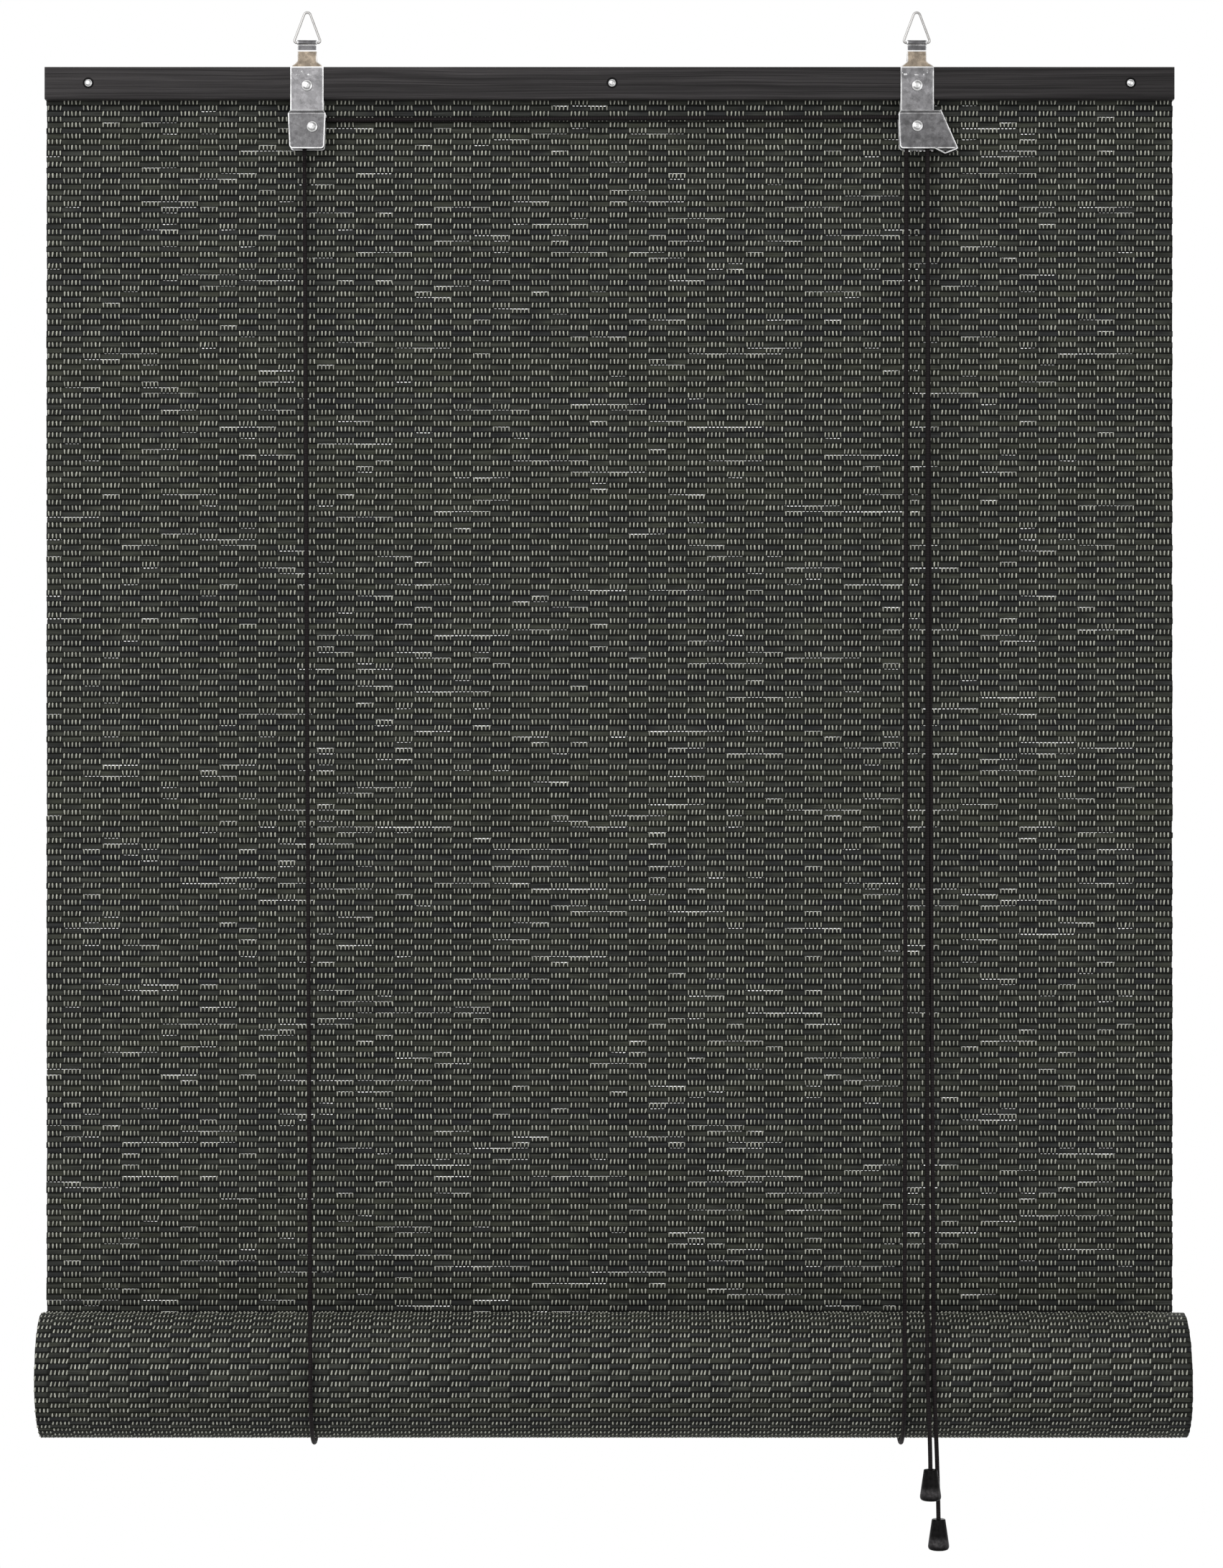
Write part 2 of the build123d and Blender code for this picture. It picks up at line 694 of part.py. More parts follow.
pieces = {
    "front_batten": front_batten(),
    "back_batten": back_batten(),
    "clamp_rivets": clamp_rivets(),
    "pulley_hanger": pulley_hanger(),
    "lock_hanger": lock_hanger(),
    "hanger_rivets": hanger_rivets(),
    "guide_axle": axle(guide_x, guide_axle_z),
    "lock_axle": axle(lock_x, lock_axle_z),
    "left_ring": ring(-hanger_reach),
    "right_ring": ring(hanger_reach),
    "guide_pulley": guide_pulley(),
    "lock_pulley": lock_pulley(),
    "lock_roller": lock_roller(),
    "hanging_mat": hanging_mat(),
    "rolled_mat": rolled_mat(),
    "bottom_batten": bottom_batten(),
    "cross_cord": cross_cord(),
    "lock_turn_cord": lock_turn_cord(),
    "left_front_cord": front_cord(guide_exit, left_sling_x),
    "right_front_cord": front_cord(front_entry, right_sling_x),
    "left_sling": sling(guide_exit, left_sling_x),
    "right_sling": sling(front_entry, right_sling_x),
    "left_back_cord": cord_run(*left_back_line),
    "right_back_cord": cord_run(*right_back_line),
    "left_top_knot": knot(left_back_line[1], 1),
    "right_top_knot": knot(right_back_line[1], 1),
    "upper_pull_lead": cord_run(front_exit, upper_lead_end),
    "lower_pull_lead": cord_run(rear_exit, lower_lead_end),
    "upper_pull_tail": pull_tail(upper_lead_end, upper_pull_place),
    "lower_pull_tail": pull_tail(lower_lead_end, lower_pull_place),
    "upper_pull": pull(upper_pull_place),
    "lower_pull": pull(lower_pull_place),
    "upper_pull_knot": knot(knot_seat(upper_pull_place), -1),
    "lower_pull_knot": knot(knot_seat(lower_pull_place), -1),
}

os.makedirs("parts", exist_ok=True)
for name, shape in pieces.items():
    solids = shape if isinstance(shape, list) else shape.solids()
    export_step(Compound(children=list(solids)) if len(solids) > 1 else solids[0], f"parts/{name}.step")
print(len(pieces), "pieces, lift travel", round(lift_travel, 1))
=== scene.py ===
# %% [markdown]
# A woven bamboo roll-up blind, drawn part of the way up. Two black laths clamp the top of a mat of thin
# stained slats, and groups of five grey yarns are woven over and under the slats. Folded steel hangers hold
# the rail and the pulleys, and black cords pass under the roll. The solid frame comes first: every piece
# made here lies where its solid lies, in metres.

# %% Load the frame
import json
from math import acos, atan2, cos, hypot, pi, sin

import bpy
import numpy as np
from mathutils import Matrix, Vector


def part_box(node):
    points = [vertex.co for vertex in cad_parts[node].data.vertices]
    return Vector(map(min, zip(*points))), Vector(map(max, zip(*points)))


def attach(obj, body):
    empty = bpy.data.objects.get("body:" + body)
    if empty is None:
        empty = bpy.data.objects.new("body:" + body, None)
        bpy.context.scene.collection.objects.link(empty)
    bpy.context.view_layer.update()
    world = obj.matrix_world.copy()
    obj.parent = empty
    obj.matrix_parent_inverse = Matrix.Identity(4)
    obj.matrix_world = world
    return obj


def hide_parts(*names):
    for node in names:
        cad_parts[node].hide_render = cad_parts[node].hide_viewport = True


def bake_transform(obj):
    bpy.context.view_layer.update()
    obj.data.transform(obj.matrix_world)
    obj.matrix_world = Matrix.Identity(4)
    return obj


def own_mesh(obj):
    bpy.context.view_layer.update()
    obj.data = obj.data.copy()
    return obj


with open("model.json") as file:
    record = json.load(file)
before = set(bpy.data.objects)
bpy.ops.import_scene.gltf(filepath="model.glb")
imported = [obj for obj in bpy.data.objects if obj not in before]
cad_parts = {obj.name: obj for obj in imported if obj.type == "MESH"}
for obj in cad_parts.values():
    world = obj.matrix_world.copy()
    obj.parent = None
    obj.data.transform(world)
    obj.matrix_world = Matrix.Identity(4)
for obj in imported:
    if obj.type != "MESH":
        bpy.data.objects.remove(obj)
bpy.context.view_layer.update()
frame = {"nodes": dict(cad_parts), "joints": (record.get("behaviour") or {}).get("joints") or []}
nodes = frame["nodes"]
mm = 0.001

# %% [markdown]
# The picture was taken from straight in front with a long lens, so the sides of the mat stay almost upright
# and the roll, which is nearer, looks slightly wider than the mat. A lens of about 100 mm three metres away
# gives the same slight growth. The sensor is fitted to the height because the picture is upright.

# %% Camera
image_high = 2184
mat_per_pixel = 0.5096 * mm
camera_distance = 3.09
picture_middle = (-0.4 * mm, -545.8 * mm)
sensor = 36.0

mat_low, mat_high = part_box("hanging_mat")
lens = bpy.data.cameras.new("camera")
lens.sensor_fit = "VERTICAL"
lens.sensor_height = sensor
lens.lens = sensor * camera_distance / (image_high * mat_per_pixel)
camera = bpy.data.objects.new("camera", lens)
camera.location = (picture_middle[0], mat_low.y - camera_distance, picture_middle[1])
camera.rotation_euler = (pi / 2, 0, 0)
bpy.context.scene.collection.objects.link(camera)
bpy.context.scene.camera = camera
bpy.context.scene.view_settings.view_transform = "Standard"
print("lens:", round(lens.lens, 1), "mm")

# %% [markdown]
# A finish is a small network of nodes. Writing it as sums and products is easier to read than a list of
# nodes and links, so one class wraps a socket: an operator between two fields adds a Math node, and the
# method node() adds any other node, with its settings first and then its sockets.


# %% Fields for the finishes
class Field:
    """A socket in a finish, with Python's operators."""

    def __init__(self, tree, socket=None):
        self.tree = tree
        self.socket = socket

    def node(self, kind, settings=None, sockets=None, out=0):
        """Adds a node and gives one of its outputs as a field."""
        made = self.tree.nodes.new(kind)
        for name, setting in (settings or {}).items():
            setattr(made, name, setting)
        for key, given in (sockets or {}).items():
            if isinstance(given, Field):
                self.tree.links.new(given.socket, made.inputs[key])
            else:
                made.inputs[key].default_value = given
        return Field(self.tree, made.outputs[out])

    def maths(self, operation, *others):
        """Adds a Math node on the field and others."""
        return self.node("ShaderNodeMath", {"operation": operation}, dict(enumerate((self, *others))))

    def __add__(self, other):
        return self.maths("ADD", other)

    def __sub__(self, other):
        return self.maths("SUBTRACT", other)

    def __rsub__(self, other):
        return self * -1 + other

    def __mul__(self, other):
        return self.maths("MULTIPLY", other)

    def __mod__(self, other):
        return self.maths("FLOORED_MODULO", other)

    __radd__ = __add__
    __rmul__ = __mul__

    def part(self, place):
        """X, Y or Z of a vector."""
        return self.node("ShaderNodeSeparateXYZ", None, {0: self}, place)

    def ramp(self, start, end, low=0.0, high=1.0):
        """The field taken from start..end to low..high, smoothly."""
        limits = {"Value": self, "From Min": start, "From Max": end, "To Min": low, "To Max": high}
        return self.node("ShaderNodeMapRange", {"interpolation_type": "SMOOTHSTEP"}, limits)

    def between(self, low, high):
        """A colour from low to high as the field goes from 0 to 1."""
        return self.node("ShaderNodeMix", {"data_type": "RGBA"}, {0: self, 6: low, 7: high}, 2)

    def tint(self, colour):
        """A colour made brighter or darker by the field."""
        return self.node("ShaderNodeVectorMath", {"operation": "SCALE"}, {0: colour, "Scale": self})

    def vector(self, y=0.0, z=0.0):
        """A vector with the field as its X."""
        return self.node("ShaderNodeCombineXYZ", None, {0: self, 1: y, 2: z})

    def scaled(self, x, y, z):
        """A vector stretched along its three axes."""
        return self.node("ShaderNodeVectorMath", {"operation": "MULTIPLY"}, {0: self, 1: (x, y, z)})

    def noise(self, scale, detail=3.0, rough=0.5):
        """A cloudy pattern over a vector."""
        sockets = {"Vector": self, "Scale": scale, "Detail": detail, "Roughness": rough}
        return self.node("ShaderNodeTexNoise", None, sockets)

    def chance(self):
        """A random number for each value of the field."""
        return self.node("ShaderNodeTexWhiteNoise", {"noise_dimensions": "2D"}, {"Vector": self})


print("field class ready")


# %% Helpers for the finishes
def new_finish(name, even):
    """An empty finish: its material, its shader and a field to start from. Even numbers go on the shader."""
    material = bpy.data.materials.new(name)
    material.use_nodes = True
    shader = material.node_tree.nodes["Principled BSDF"]
    for socket, number in even.items():
        shader.inputs[socket].default_value = number
    return material, shader, Field(material.node_tree)


def feed(shader, fields):
    """Links fields to the sockets of a shader."""
    for socket, field in fields.items():
        field.tree.links.new(field.socket, shader.inputs[socket])


def bumped(height, depth, strength=1.0):
    """A normal from a height field, whose full height is depth metres."""
    return height.node("ShaderNodeBump", None, {"Strength": strength, "Distance": depth, "Height": height})


def object_place(start):
    """Place in the part, in metres."""
    return start.node("ShaderNodeTexCoord", None, None, 3)


def weave_place(start):
    """Place on the map called weave."""
    return start.node("ShaderNodeUVMap", {"uv_map": "weave"})


def grey(level, warm=0.0):
    """A grey, or a warm grey with more red than blue."""
    return (level * (1 + warm), level, level * (1 - warm))


print("finish helpers ready")

# %% [markdown]
# The slats are thin strips split from bamboo and stained a charcoal that leans to olive. Each strip took the
# stain a little differently, and fine fibres run along it. The pattern is read from a map of the weave, one
# unit to a thread band along the slat and one unit to a slat across it, so it stays on the slat when the
# mat is drawn up. The strip is painted darker where the yarns cover it, a painted shade under the yarns.
# Each slat is also painted lighter along its middle and darker towards its upper and lower edges: painted
# light along the middle and painted shade towards the edges, where the slats meet.


# %% Stained bamboo
def stained_bamboo():
    material, shader, start = new_finish("stained_bamboo", {"Specular IOR Level": 0.05})
    place = weave_place(start)
    along, across = place.part(0), place.part(1)
    row = across.maths("FLOOR")
    strip = row.vector(3.7).chance()
    drift = (along * 0.45).vector(row * 7.31).noise(1.0, 1.0).ramp(0.35, 0.65)
    fibre = (along * 0.8).vector(across * 6.0).noise(1.0, 5.0, 0.65)
    cloud = (along * 0.25).vector(across * 0.9).noise(1.0, 2.0)
    # Painted shade: the slat is darker where the yarns pass in front of it.
    over = ((along + row - 0.5) % 2.0 - 1.0).maths("ABSOLUTE").ramp(0.44, 0.56, 1.0, 0.0)
    middle = across % 1.0
    # Painted light and shade: each slat is lighter along its middle and darker towards its upper and lower
    # edges, where the slats meet.
    painted_slat_shade = (middle * (1 - middle)).ramp(0.03, 0.25, 0.17, 1.22)
    light = fibre.ramp(0.25, 0.75, 0.58, 1.42) * cloud.ramp(0.3, 0.7, 0.86, 1.14) * painted_slat_shade
    light = light * (1 - 0.52 * over) * drift.ramp(0.0, 1.0, 0.86, 1.14)
    colour = (strip * 0.6 + drift * 0.4).between((0.0285, 0.0295, 0.0305, 1), (0.0385, 0.0405, 0.0315, 1))
    feed(shader, {
        "Base Color": light.tint(colour),
        "Roughness": fibre.ramp(0.2, 0.8, 0.48, 0.72),
        "Normal": bumped(fibre, 0.12 * mm, 0.6),
    })
    return material


slat_finish = stained_bamboo()
print("finish:", slat_finish.name)

# %% [markdown]
# The yarn is undyed grey cotton. No two stitches catch the light alike, so each stitch draws its own
# brightness, and a fine twist runs across it. Where it passes through the mat it lies in shade, so the same
# finish is made a second time, darker.


# %% Grey yarn
def grey_yarn(name, colour):
    material, shader, start = new_finish(name, {"Roughness": 0.85, "Specular IOR Level": 0.1})
    place = weave_place(start)
    along, across = place.part(0), place.part(1)
    stitch = along.maths("FLOOR").vector(across.maths("FLOOR")).chance()
    twist = (along * 1.2 + across * 5.0).maths("FRACT")
    ply = (twist * (1 - twist)).ramp(0.0, 0.25, 0.78, 1.06)
    light = stitch.ramp(0.0, 1.0, 0.72, 1.12) * ply
    feed(shader, {"Base Color": light.tint(colour), "Normal": bumped(ply, 0.1 * mm, 0.5)})
    return material


yarn_finish = grey_yarn("grey_yarn", (0.51, 0.515, 0.444))
shaded_finish = grey_yarn("shaded_yarn", (0.045, 0.045, 0.041))
print("finishes:", yarn_finish.name, shaded_finish.name)

# %% [markdown]
# The laths are softwood stained almost black. The grain shows as long fine streaks along the lath, which
# noise stretched two hundred times along it gives, and a slow second noise lets them wander. The lath is made
# lighter towards its left end and darker towards its right. The rivets sit in small sunk seats, and a ring
# around each rivet is painted dark, a painted shade in the seat.


# %% Black lath
rivet_low, rivet_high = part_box("clamp_rivets")
rivet_head = 3.2 * mm
rivet_places = (rivet_low.x + rivet_head, 0.0, rivet_high.x - rivet_head)
rivet_height = (rivet_low.z + rivet_high.z) / 2
shaded_seat_radius = 3.9 * mm


def black_lath():
    material, shader, start = new_finish("black_lath", {"Specular IOR Level": 0.09})
    place = object_place(start)
    along, deep, up = place.part(0), place.part(1), place.part(2)
    sway = (along * 7.0).vector(deep * 40, up * 40).noise(1.0, 2.0)
    grain = (along * 5.0).vector(deep * 900, up * 1100 + sway * 5.0).noise(1.0, 5.0, 0.7)
    board = (along * 2.2).vector(deep * 60, up * 130 + sway * 2.0).noise(1.0, 3.0)
    scratch = (along * 30.0).vector(deep * 2500, up * 3200).noise(1.0, 2.0)
    light = grain.ramp(0.32, 0.68, 0.56, 1.50) * board.ramp(0.3, 0.7, 0.74, 1.28)
    # The lath is made lighter towards its left end and darker towards its right.
    light = light * along.ramp(-0.4, 0.4, 1.20, 0.76)
    light = light * scratch.ramp(0.62, 0.74, 1.0, 1.5)
    # Painted shade: the lath is darkened in a ring around each rivet, where its sunk seat lies in shadow.
    for x in rivet_places:
        away = (along - x) * (along - x) + (up - rivet_height) * (up - rivet_height)
        light = light * away.ramp(0.9 * shaded_seat_radius ** 2, 1.1 * shaded_seat_radius ** 2, 0.2, 1.0)
    feed(shader, {
        "Base Color": light.tint((0.0345, 0.0320, 0.0328)),
        "Roughness": grain.ramp(0.3, 0.7, 0.62, 0.44),
        "Normal": bumped(grain * 0.7 + scratch * 0.3, 0.2 * mm, 0.5),
    })
    return material


lath_finish = black_lath()
print("finish:", lath_finish.name)

# %% [markdown]
# The hangers are galvanised sheet. Zinc freezes in crystals a few millimetres across, which show as patches
# of slightly different grey, and handling leaves the surface cloudy. A Voronoi pattern gives the crystals.
# Light and shade on the folds are painted into the colour, by zones that heights in the part tell apart: a
# painted shade darkens the curled neck a little, a painted warm reflection colours the slope below it, and
# the plate is painted lighter than the boxed-out housing below it. Painted highlights run along the crease,
# along the top of the plate and as glints near the top of the plate. A Bevel node rounds the normal near an
# edge, and where it leans the zinc is painted paler, a painted highlight along the edges.


# %% Zinc sheet
hanger_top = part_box("pulley_hanger")[1].z
plate_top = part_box("front_batten")[1].z
crease = -26.5 * mm
fold = -69.0 * mm
glints = -44.4 * mm
glint_rise = 3.2 * mm


def zone(height, low, high, soft=0.4 * mm):
    """1 between two heights, with soft borders."""
    return height.ramp(low - soft, low + soft) * height.ramp(high - soft, high + soft, 1.0, 0.0)


def edge_highlight_mask(start, reach, first, full):
    """1 along the edges of a piece, where a normal rounded over a reach leans away from the true one."""
    rounded = start.node("ShaderNodeBevel", {"samples": 8}, {"Radius": reach})
    true = start.node("ShaderNodeNewGeometry", None, None, 1)
    alike = rounded.node("ShaderNodeVectorMath", {"operation": "DOT_PRODUCT"}, {0: rounded, 1: true}, 1)
    return (1 - alike).ramp(first, full)


def zinc_sheet():
    material, shader, start = new_finish("zinc_sheet", {"Metallic": 1.0})
    place = object_place(start)
    height = place.part(2)
    crystal = place.node("ShaderNodeTexVoronoi", None, {"Vector": place, "Scale": 420.0}, 1)
    cloud = place.noise(150.0, 4.0, 0.6)
    speck = place.noise(1400.0, 2.0)
    light = crystal.part(0).ramp(0.0, 1.0, 0.84, 1.12) * cloud.ramp(0.3, 0.7, 0.78, 1.22)
    light = light * speck.ramp(0.3, 0.7, 0.92, 1.08)
    # Painted light and shade: the plate is painted lighter than the housing below it, and the neck a little
    # darker.
    painted_plate_light = zone(height, fold, plate_top)
    painted_slope_reflection = zone(height, plate_top, crease)
    painted_neck_shade = zone(height, crease, hanger_top)
    # Painted highlights: a bright line along the crease, one along the top of the plate and glints near the
    # top of the plate, blended towards white.
    painted_highlight = zone(height, crease - 0.3 * mm, crease + 0.5 * mm, 0.25 * mm)
    shoulder_highlight = zone(height, plate_top - 0.7 * mm, plate_top, 0.3 * mm) * 0.7
    glint = zone(height, glints, glints + glint_rise) * place.noise(520.0).ramp(0.60, 0.70) * 0.8
    # Painted highlight: the zinc is paler along the edges that the Bevel node finds.
    edges = edge_highlight_mask(start, 1.8 * mm, 0.01, 0.08) * cloud.ramp(0.3, 0.6, 0.45, 1.0)
    for bright in (shoulder_highlight, glint, edges):
        painted_highlight = painted_highlight.maths("MAXIMUM", bright)
    light = light * (1 + 0.6 * painted_plate_light - 0.05 * painted_neck_shade)
    # Painted reflection: the slope between the plate and the neck is coloured a warm tan.
    colour = painted_slope_reflection.between((0.130, 0.128, 0.132, 1), (0.30, 0.25, 0.195, 1))
    colour = painted_highlight.between(light.tint(colour), (0.85, 0.85, 0.85, 1))
    feed(shader, {
        "Base Color": colour,
        "Roughness": cloud.ramp(0.3, 0.7, 0.30, 0.46),
        "Normal": bumped(cloud * 0.6 + speck * 0.4, 0.1 * mm, 0.35),
    })
    return material


sheet_finish = zinc_sheet()
print("finish:", sheet_finish.name)

# %% [markdown]
# The other metals are simpler. Wire and wheels are steel with fine marks from drawing or turning, and the
# bevelled edges of the hangers get a pale steel with fine marks, a painted highlight. A rivet head has been
# pressed: its crown is bright, a ring of painted shade goes round it, and the rim is painted dark where it
# meets the sheet, a painted shade. The map called weave holds each point's distance from the middle.


# %% Wire, wheels and rivets
def plain_metal(name, level, rough, warm=0.0, marks=900.0, relief=0.05 * mm):
    """Bright or turned metal with fine marks."""
    material, shader, start = new_finish(name, {"Metallic": 1.0})
    place = object_place(start)
    mark = place.noise(marks, 3.0, 0.6)
    feed(shader, {
        "Base Color": mark.ramp(0.3, 0.7, 0.88, 1.08).tint(grey(level, warm)),
        "Roughness": mark.ramp(0.3, 0.7, rough * 0.8, rough * 1.3),
        "Normal": bumped(mark, relief, 0.3),
    })
    return material


def rivet_with_painted_shade():
    """A bright crown, a ring of painted shade and a rim of painted shade, by distance from the middle."""
    material, shader, start = new_finish("bright_rivet", {"Metallic": 1.0})
    away = weave_place(start).part(1)
    mark = object_place(start).noise(700.0, 3.0, 0.6)
    # Painted shade: a darker ring round the crown, and a darker rim where the head meets the sheet.
    ring = away.ramp(0.38, 0.56) * away.ramp(0.66, 0.84, 1.0, 0.0)
    light = mark.ramp(0.3, 0.7, 0.82, 1.10) * (1 - 0.55 * ring) * away.ramp(0.94, 1.0, 1.0, 0.35)
    feed(shader, {
        "Base Color": light.tint(grey(0.68)),
        "Roughness": mark.ramp(0.3, 0.7, 0.18, 0.30),
        "Normal": bumped(mark, 0.05 * mm, 0.3),
    })
    return material


edge_highlight_finish = plain_metal("rubbed_edge", 0.85, 0.30)
wire_finish = plain_metal("zinc_wire", 0.40, 0.32, 0.02, 250.0, 0.01 * mm)
rivet_finish = rivet_with_painted_shade()
wheel_finish = plain_metal("turned_steel", 0.28, 0.32)
print("finishes:", edge_highlight_finish.name, wire_finish.name, rivet_finish.name, wheel_finish.name)

# %% [markdown]
# The cord is braided from black polyester. Its braid is two sets of strands that cross, which a product of
# two slanting waves imitates as relief. The pulls are turned and lacquered black, and a grey band is painted
# round their lower part near the foot, a painted highlight for their satin shine.


# %% Cord and pull finishes
def black_braid():
    material, shader, start = new_finish("black_cord", {"Roughness": 0.62, "Specular IOR Level": 0.08})
    place = weave_place(start)
    around, along = place.part(0), place.part(1)
    left = ((around * 4.0 + along * 0.9) * 2 * pi).maths("SINE")
    right = ((around * 4.0 - along * 0.9) * 2 * pi).maths("SINE")
    braid = (left * right).ramp(-1.0, 1.0, 0.0, 1.0)
    light = braid.ramp(0.0, 1.0, 0.6, 1.4)
    colour = light.tint((0.0135, 0.0110, 0.0118))
    feed(shader, {"Base Color": colour, "Normal": bumped(braid, 0.25 * mm, 0.8)})
    return material


def black_pull():
    material, shader, start = new_finish("black_pull", {"Specular IOR Level": 0.05})
    place = object_place(start)
    upward = start.node("ShaderNodeTexCoord", None, None, 0).part(2)
    turned = place.scaled(90, 90, 900).noise(1.0, 3.0)
    scuff = place.noise(420.0, 4.0, 0.6)
    # Painted highlight: a grey band round the lower part of the pull, for its satin shine.
    painted_sheen = upward.ramp(0.06, 0.24) * upward.ramp(0.24, 0.5, 1.0, 0.0)
    light = scuff.ramp(0.35, 0.7, 0.6, 1.5) * (0.55 + 5.0 * painted_sheen)
    feed(shader, {
        "Base Color": light.tint((0.0105, 0.0100, 0.0103)),
        "Roughness": scuff.ramp(0.3, 0.7, 0.28, 0.44),
        "Normal": bumped(turned * 0.5 + scuff * 0.5, 0.06 * mm, 0.5),
    })
    return material


cord_finish = black_braid()
pull_finish = black_pull()
print("finishes:", cord_finish.name, pull_finish.name)

# %% [markdown]
# Most of the blind is made of thousands of like parts, so meshes are built from arrays. Each gets two maps:
# "weave" is what the finishes read, and "OFBake" lays every face out once, side by side, for the export.


# %% Meshes from arrays
def add_piece(name, points, faces, finish, weave=None, bake=None):
    """A smooth mesh object from points, like faces, and maps with a place for each corner."""
    mesh = bpy.data.meshes.new(name)
    count, sides = faces.shape
    mesh.vertices.add(len(points))
    mesh.vertices.foreach_set("co", np.asarray(points, np.float32).ravel())
    mesh.loops.add(count * sides)
    mesh.loops.foreach_set("vertex_index", faces.astype(np.int32).ravel())
    mesh.polygons.add(count)
    mesh.polygons.foreach_set("loop_start", np.arange(0, count * sides, sides, dtype=np.int32))
    mesh.polygons.foreach_set("use_smooth", np.ones(count, bool))
    mesh.update(calc_edges=True)
    for layer, places in (("weave", weave), ("OFBake", bake)):
        if places is not None:
            made = mesh.uv_layers.new(name=layer)
            made.data.foreach_set("uv", np.asarray(places, np.float32).ravel())
    mesh.materials.append(finish)
    piece = bpy.data.objects.new(name, mesh)
    bpy.context.scene.collection.objects.link(piece)
    return piece


def flat_edges(piece, angle):
    """Keeps edges sharper than an angle crisp on a smooth piece."""
    piece.data.set_sharp_from_angle(angle=angle)


def bar_faces(stations, sides):
    """Quads round a bar, from station to station."""
    ring = np.arange(sides)
    start = np.arange(stations - 1)[:, None] * sides
    a = start + ring
    b = start + (ring + 1) % sides
    return np.stack([a, b, b + sides, a + sides], 2).reshape(-1, 4)


def side_places(faces, sides):
    """Side of the bar at each corner, counted on past the seam so that a map can be laid flat."""
    side = faces % sides
    return np.where((side == 0) & (side.max(1) == sides - 1)[:, None], sides, side)


print("mesh helpers ready")

# %% [markdown]
# The weave: slats lie 4 mm apart, yarns 2.77 mm apart in bands of five, and the first band at the left edge
# has lost one yarn. A yarn passes over the front of every second slat, and the next band passes over the
# slats between, which gives the chequered look.

# %% Measures of the weave
rng = np.random.default_rng(7)
slat_pitch = 4.0 * mm
slat_bevel = 0.5 * mm
slat_edge = 0.32 * mm
stitch_rise = 0.45 * mm
mat_half_width, roll_half_width = 0.60 * mm, 0.66 * mm
mat_lean, roll_lean = 0.04 * mm, -0.26 * mm
stitch_reach = 2.0 * mm
stitch_shoulder = 1.30 * mm
stitch_lift = 0.3 * mm
yarn_step = 2.77 * mm
first_yarn = 1.8 * mm
yarns_per_band = 5
mat_left, mat_right = mat_low.x, mat_high.x
mat_top = mat_high.z
weave_top = mat_top + slat_pitch / 2
first_row = 1
rows = round((mat_high.z - mat_low.z) / slat_pitch)
slat_front = mat_low.y + stitch_rise
slat_back = mat_high.y - stitch_rise
yarn_places = np.arange(mat_left + first_yarn, mat_right - yarn_step / 4, yarn_step)
yarn_bands = (np.arange(len(yarn_places)) + 1) // yarns_per_band


def band_place(x):
    """Place along a slat in thread bands."""
    return ((x - mat_left - first_yarn) / yarn_step + 1.5) / yarns_per_band


print("weave:", rows, "slats,", len(yarn_places), "yarns")

# %% [markdown]
# Here and there two slats stand apart and daylight shows between them, a few bands long. Each such slit has
# a place and a length below one slat, and a height near each of its ends. Most are hair-thin and one band
# long, and a few are wide enough to look white.


# %% Slits between the slats
slit_end = 3 * mm
slit_thin, slit_spread = 0.20 * mm, 0.55 * mm
slit_bands, slit_odds = [1, 2, 3, 4], [0.55, 0.27, 0.12, 0.06]
slits_each_row = 3.6
first_slit_row = 6


def scatter_slits():
    """Slits below each row, as left end, right end and the heights near both ends."""
    found = {}
    for row in range(first_slit_row, rows - 1):
        found[row] = []
        for _ in range(rng.poisson(slits_each_row)):
            bands = int(rng.choice(slit_bands, p=slit_odds))
            start = rng.integers(0, int(yarn_bands[-1]) - bands)
            left = mat_left + first_yarn + (start * yarns_per_band - 1.5) * yarn_step
            height = slit_thin + slit_spread * rng.random(2) ** 2.5
            found[row].append((left, left + bands * yarns_per_band * yarn_step, *height))
    return found


def slit_height(slits, x):
    """Height of the opening along a slat's edge."""
    height = np.zeros_like(x)
    for left, right, near, far in slits:
        shape = np.interp(x, [left, left + slit_end, right - slit_end, right], [0, near, far, 0])
        height = np.maximum(height, shape)
    return height


slits = scatter_slits()
print("slits:", sum(len(s) for s in slits.values()))

# %% [markdown]
# A slat is a long bar with an eight-sided section. It gets a station wherever a slit begins or ends above it,
# so that its upper edge can draw back there, and two at its own ends.


# %% Slat bars
section_edges = 8
ragged_end = 0.7 * mm


def slat_section(top, bottom):
    """Section at each station, up the front and down the back: depth, and height above the middle."""
    one = np.ones_like(top)
    upper, lower = top - slat_bevel, bottom + slat_bevel
    near, far = slat_front + slat_edge, slat_back - slat_edge
    depth = [slat_front, slat_front, near, far, slat_back, slat_back, far, near]
    height = [lower, upper, top, top, upper, lower, bottom, bottom]
    return np.stack([d * one for d in depth], 1), np.stack(height, 1)


def end_caps(stations):
    """Three quads on each end of an eight-sided bar."""
    near = np.array([[0, 7, 2, 1], [7, 6, 3, 2], [6, 5, 4, 3]])
    far = near[:, ::-1] + (stations - 1) * section_edges
    return np.concatenate([near, far])


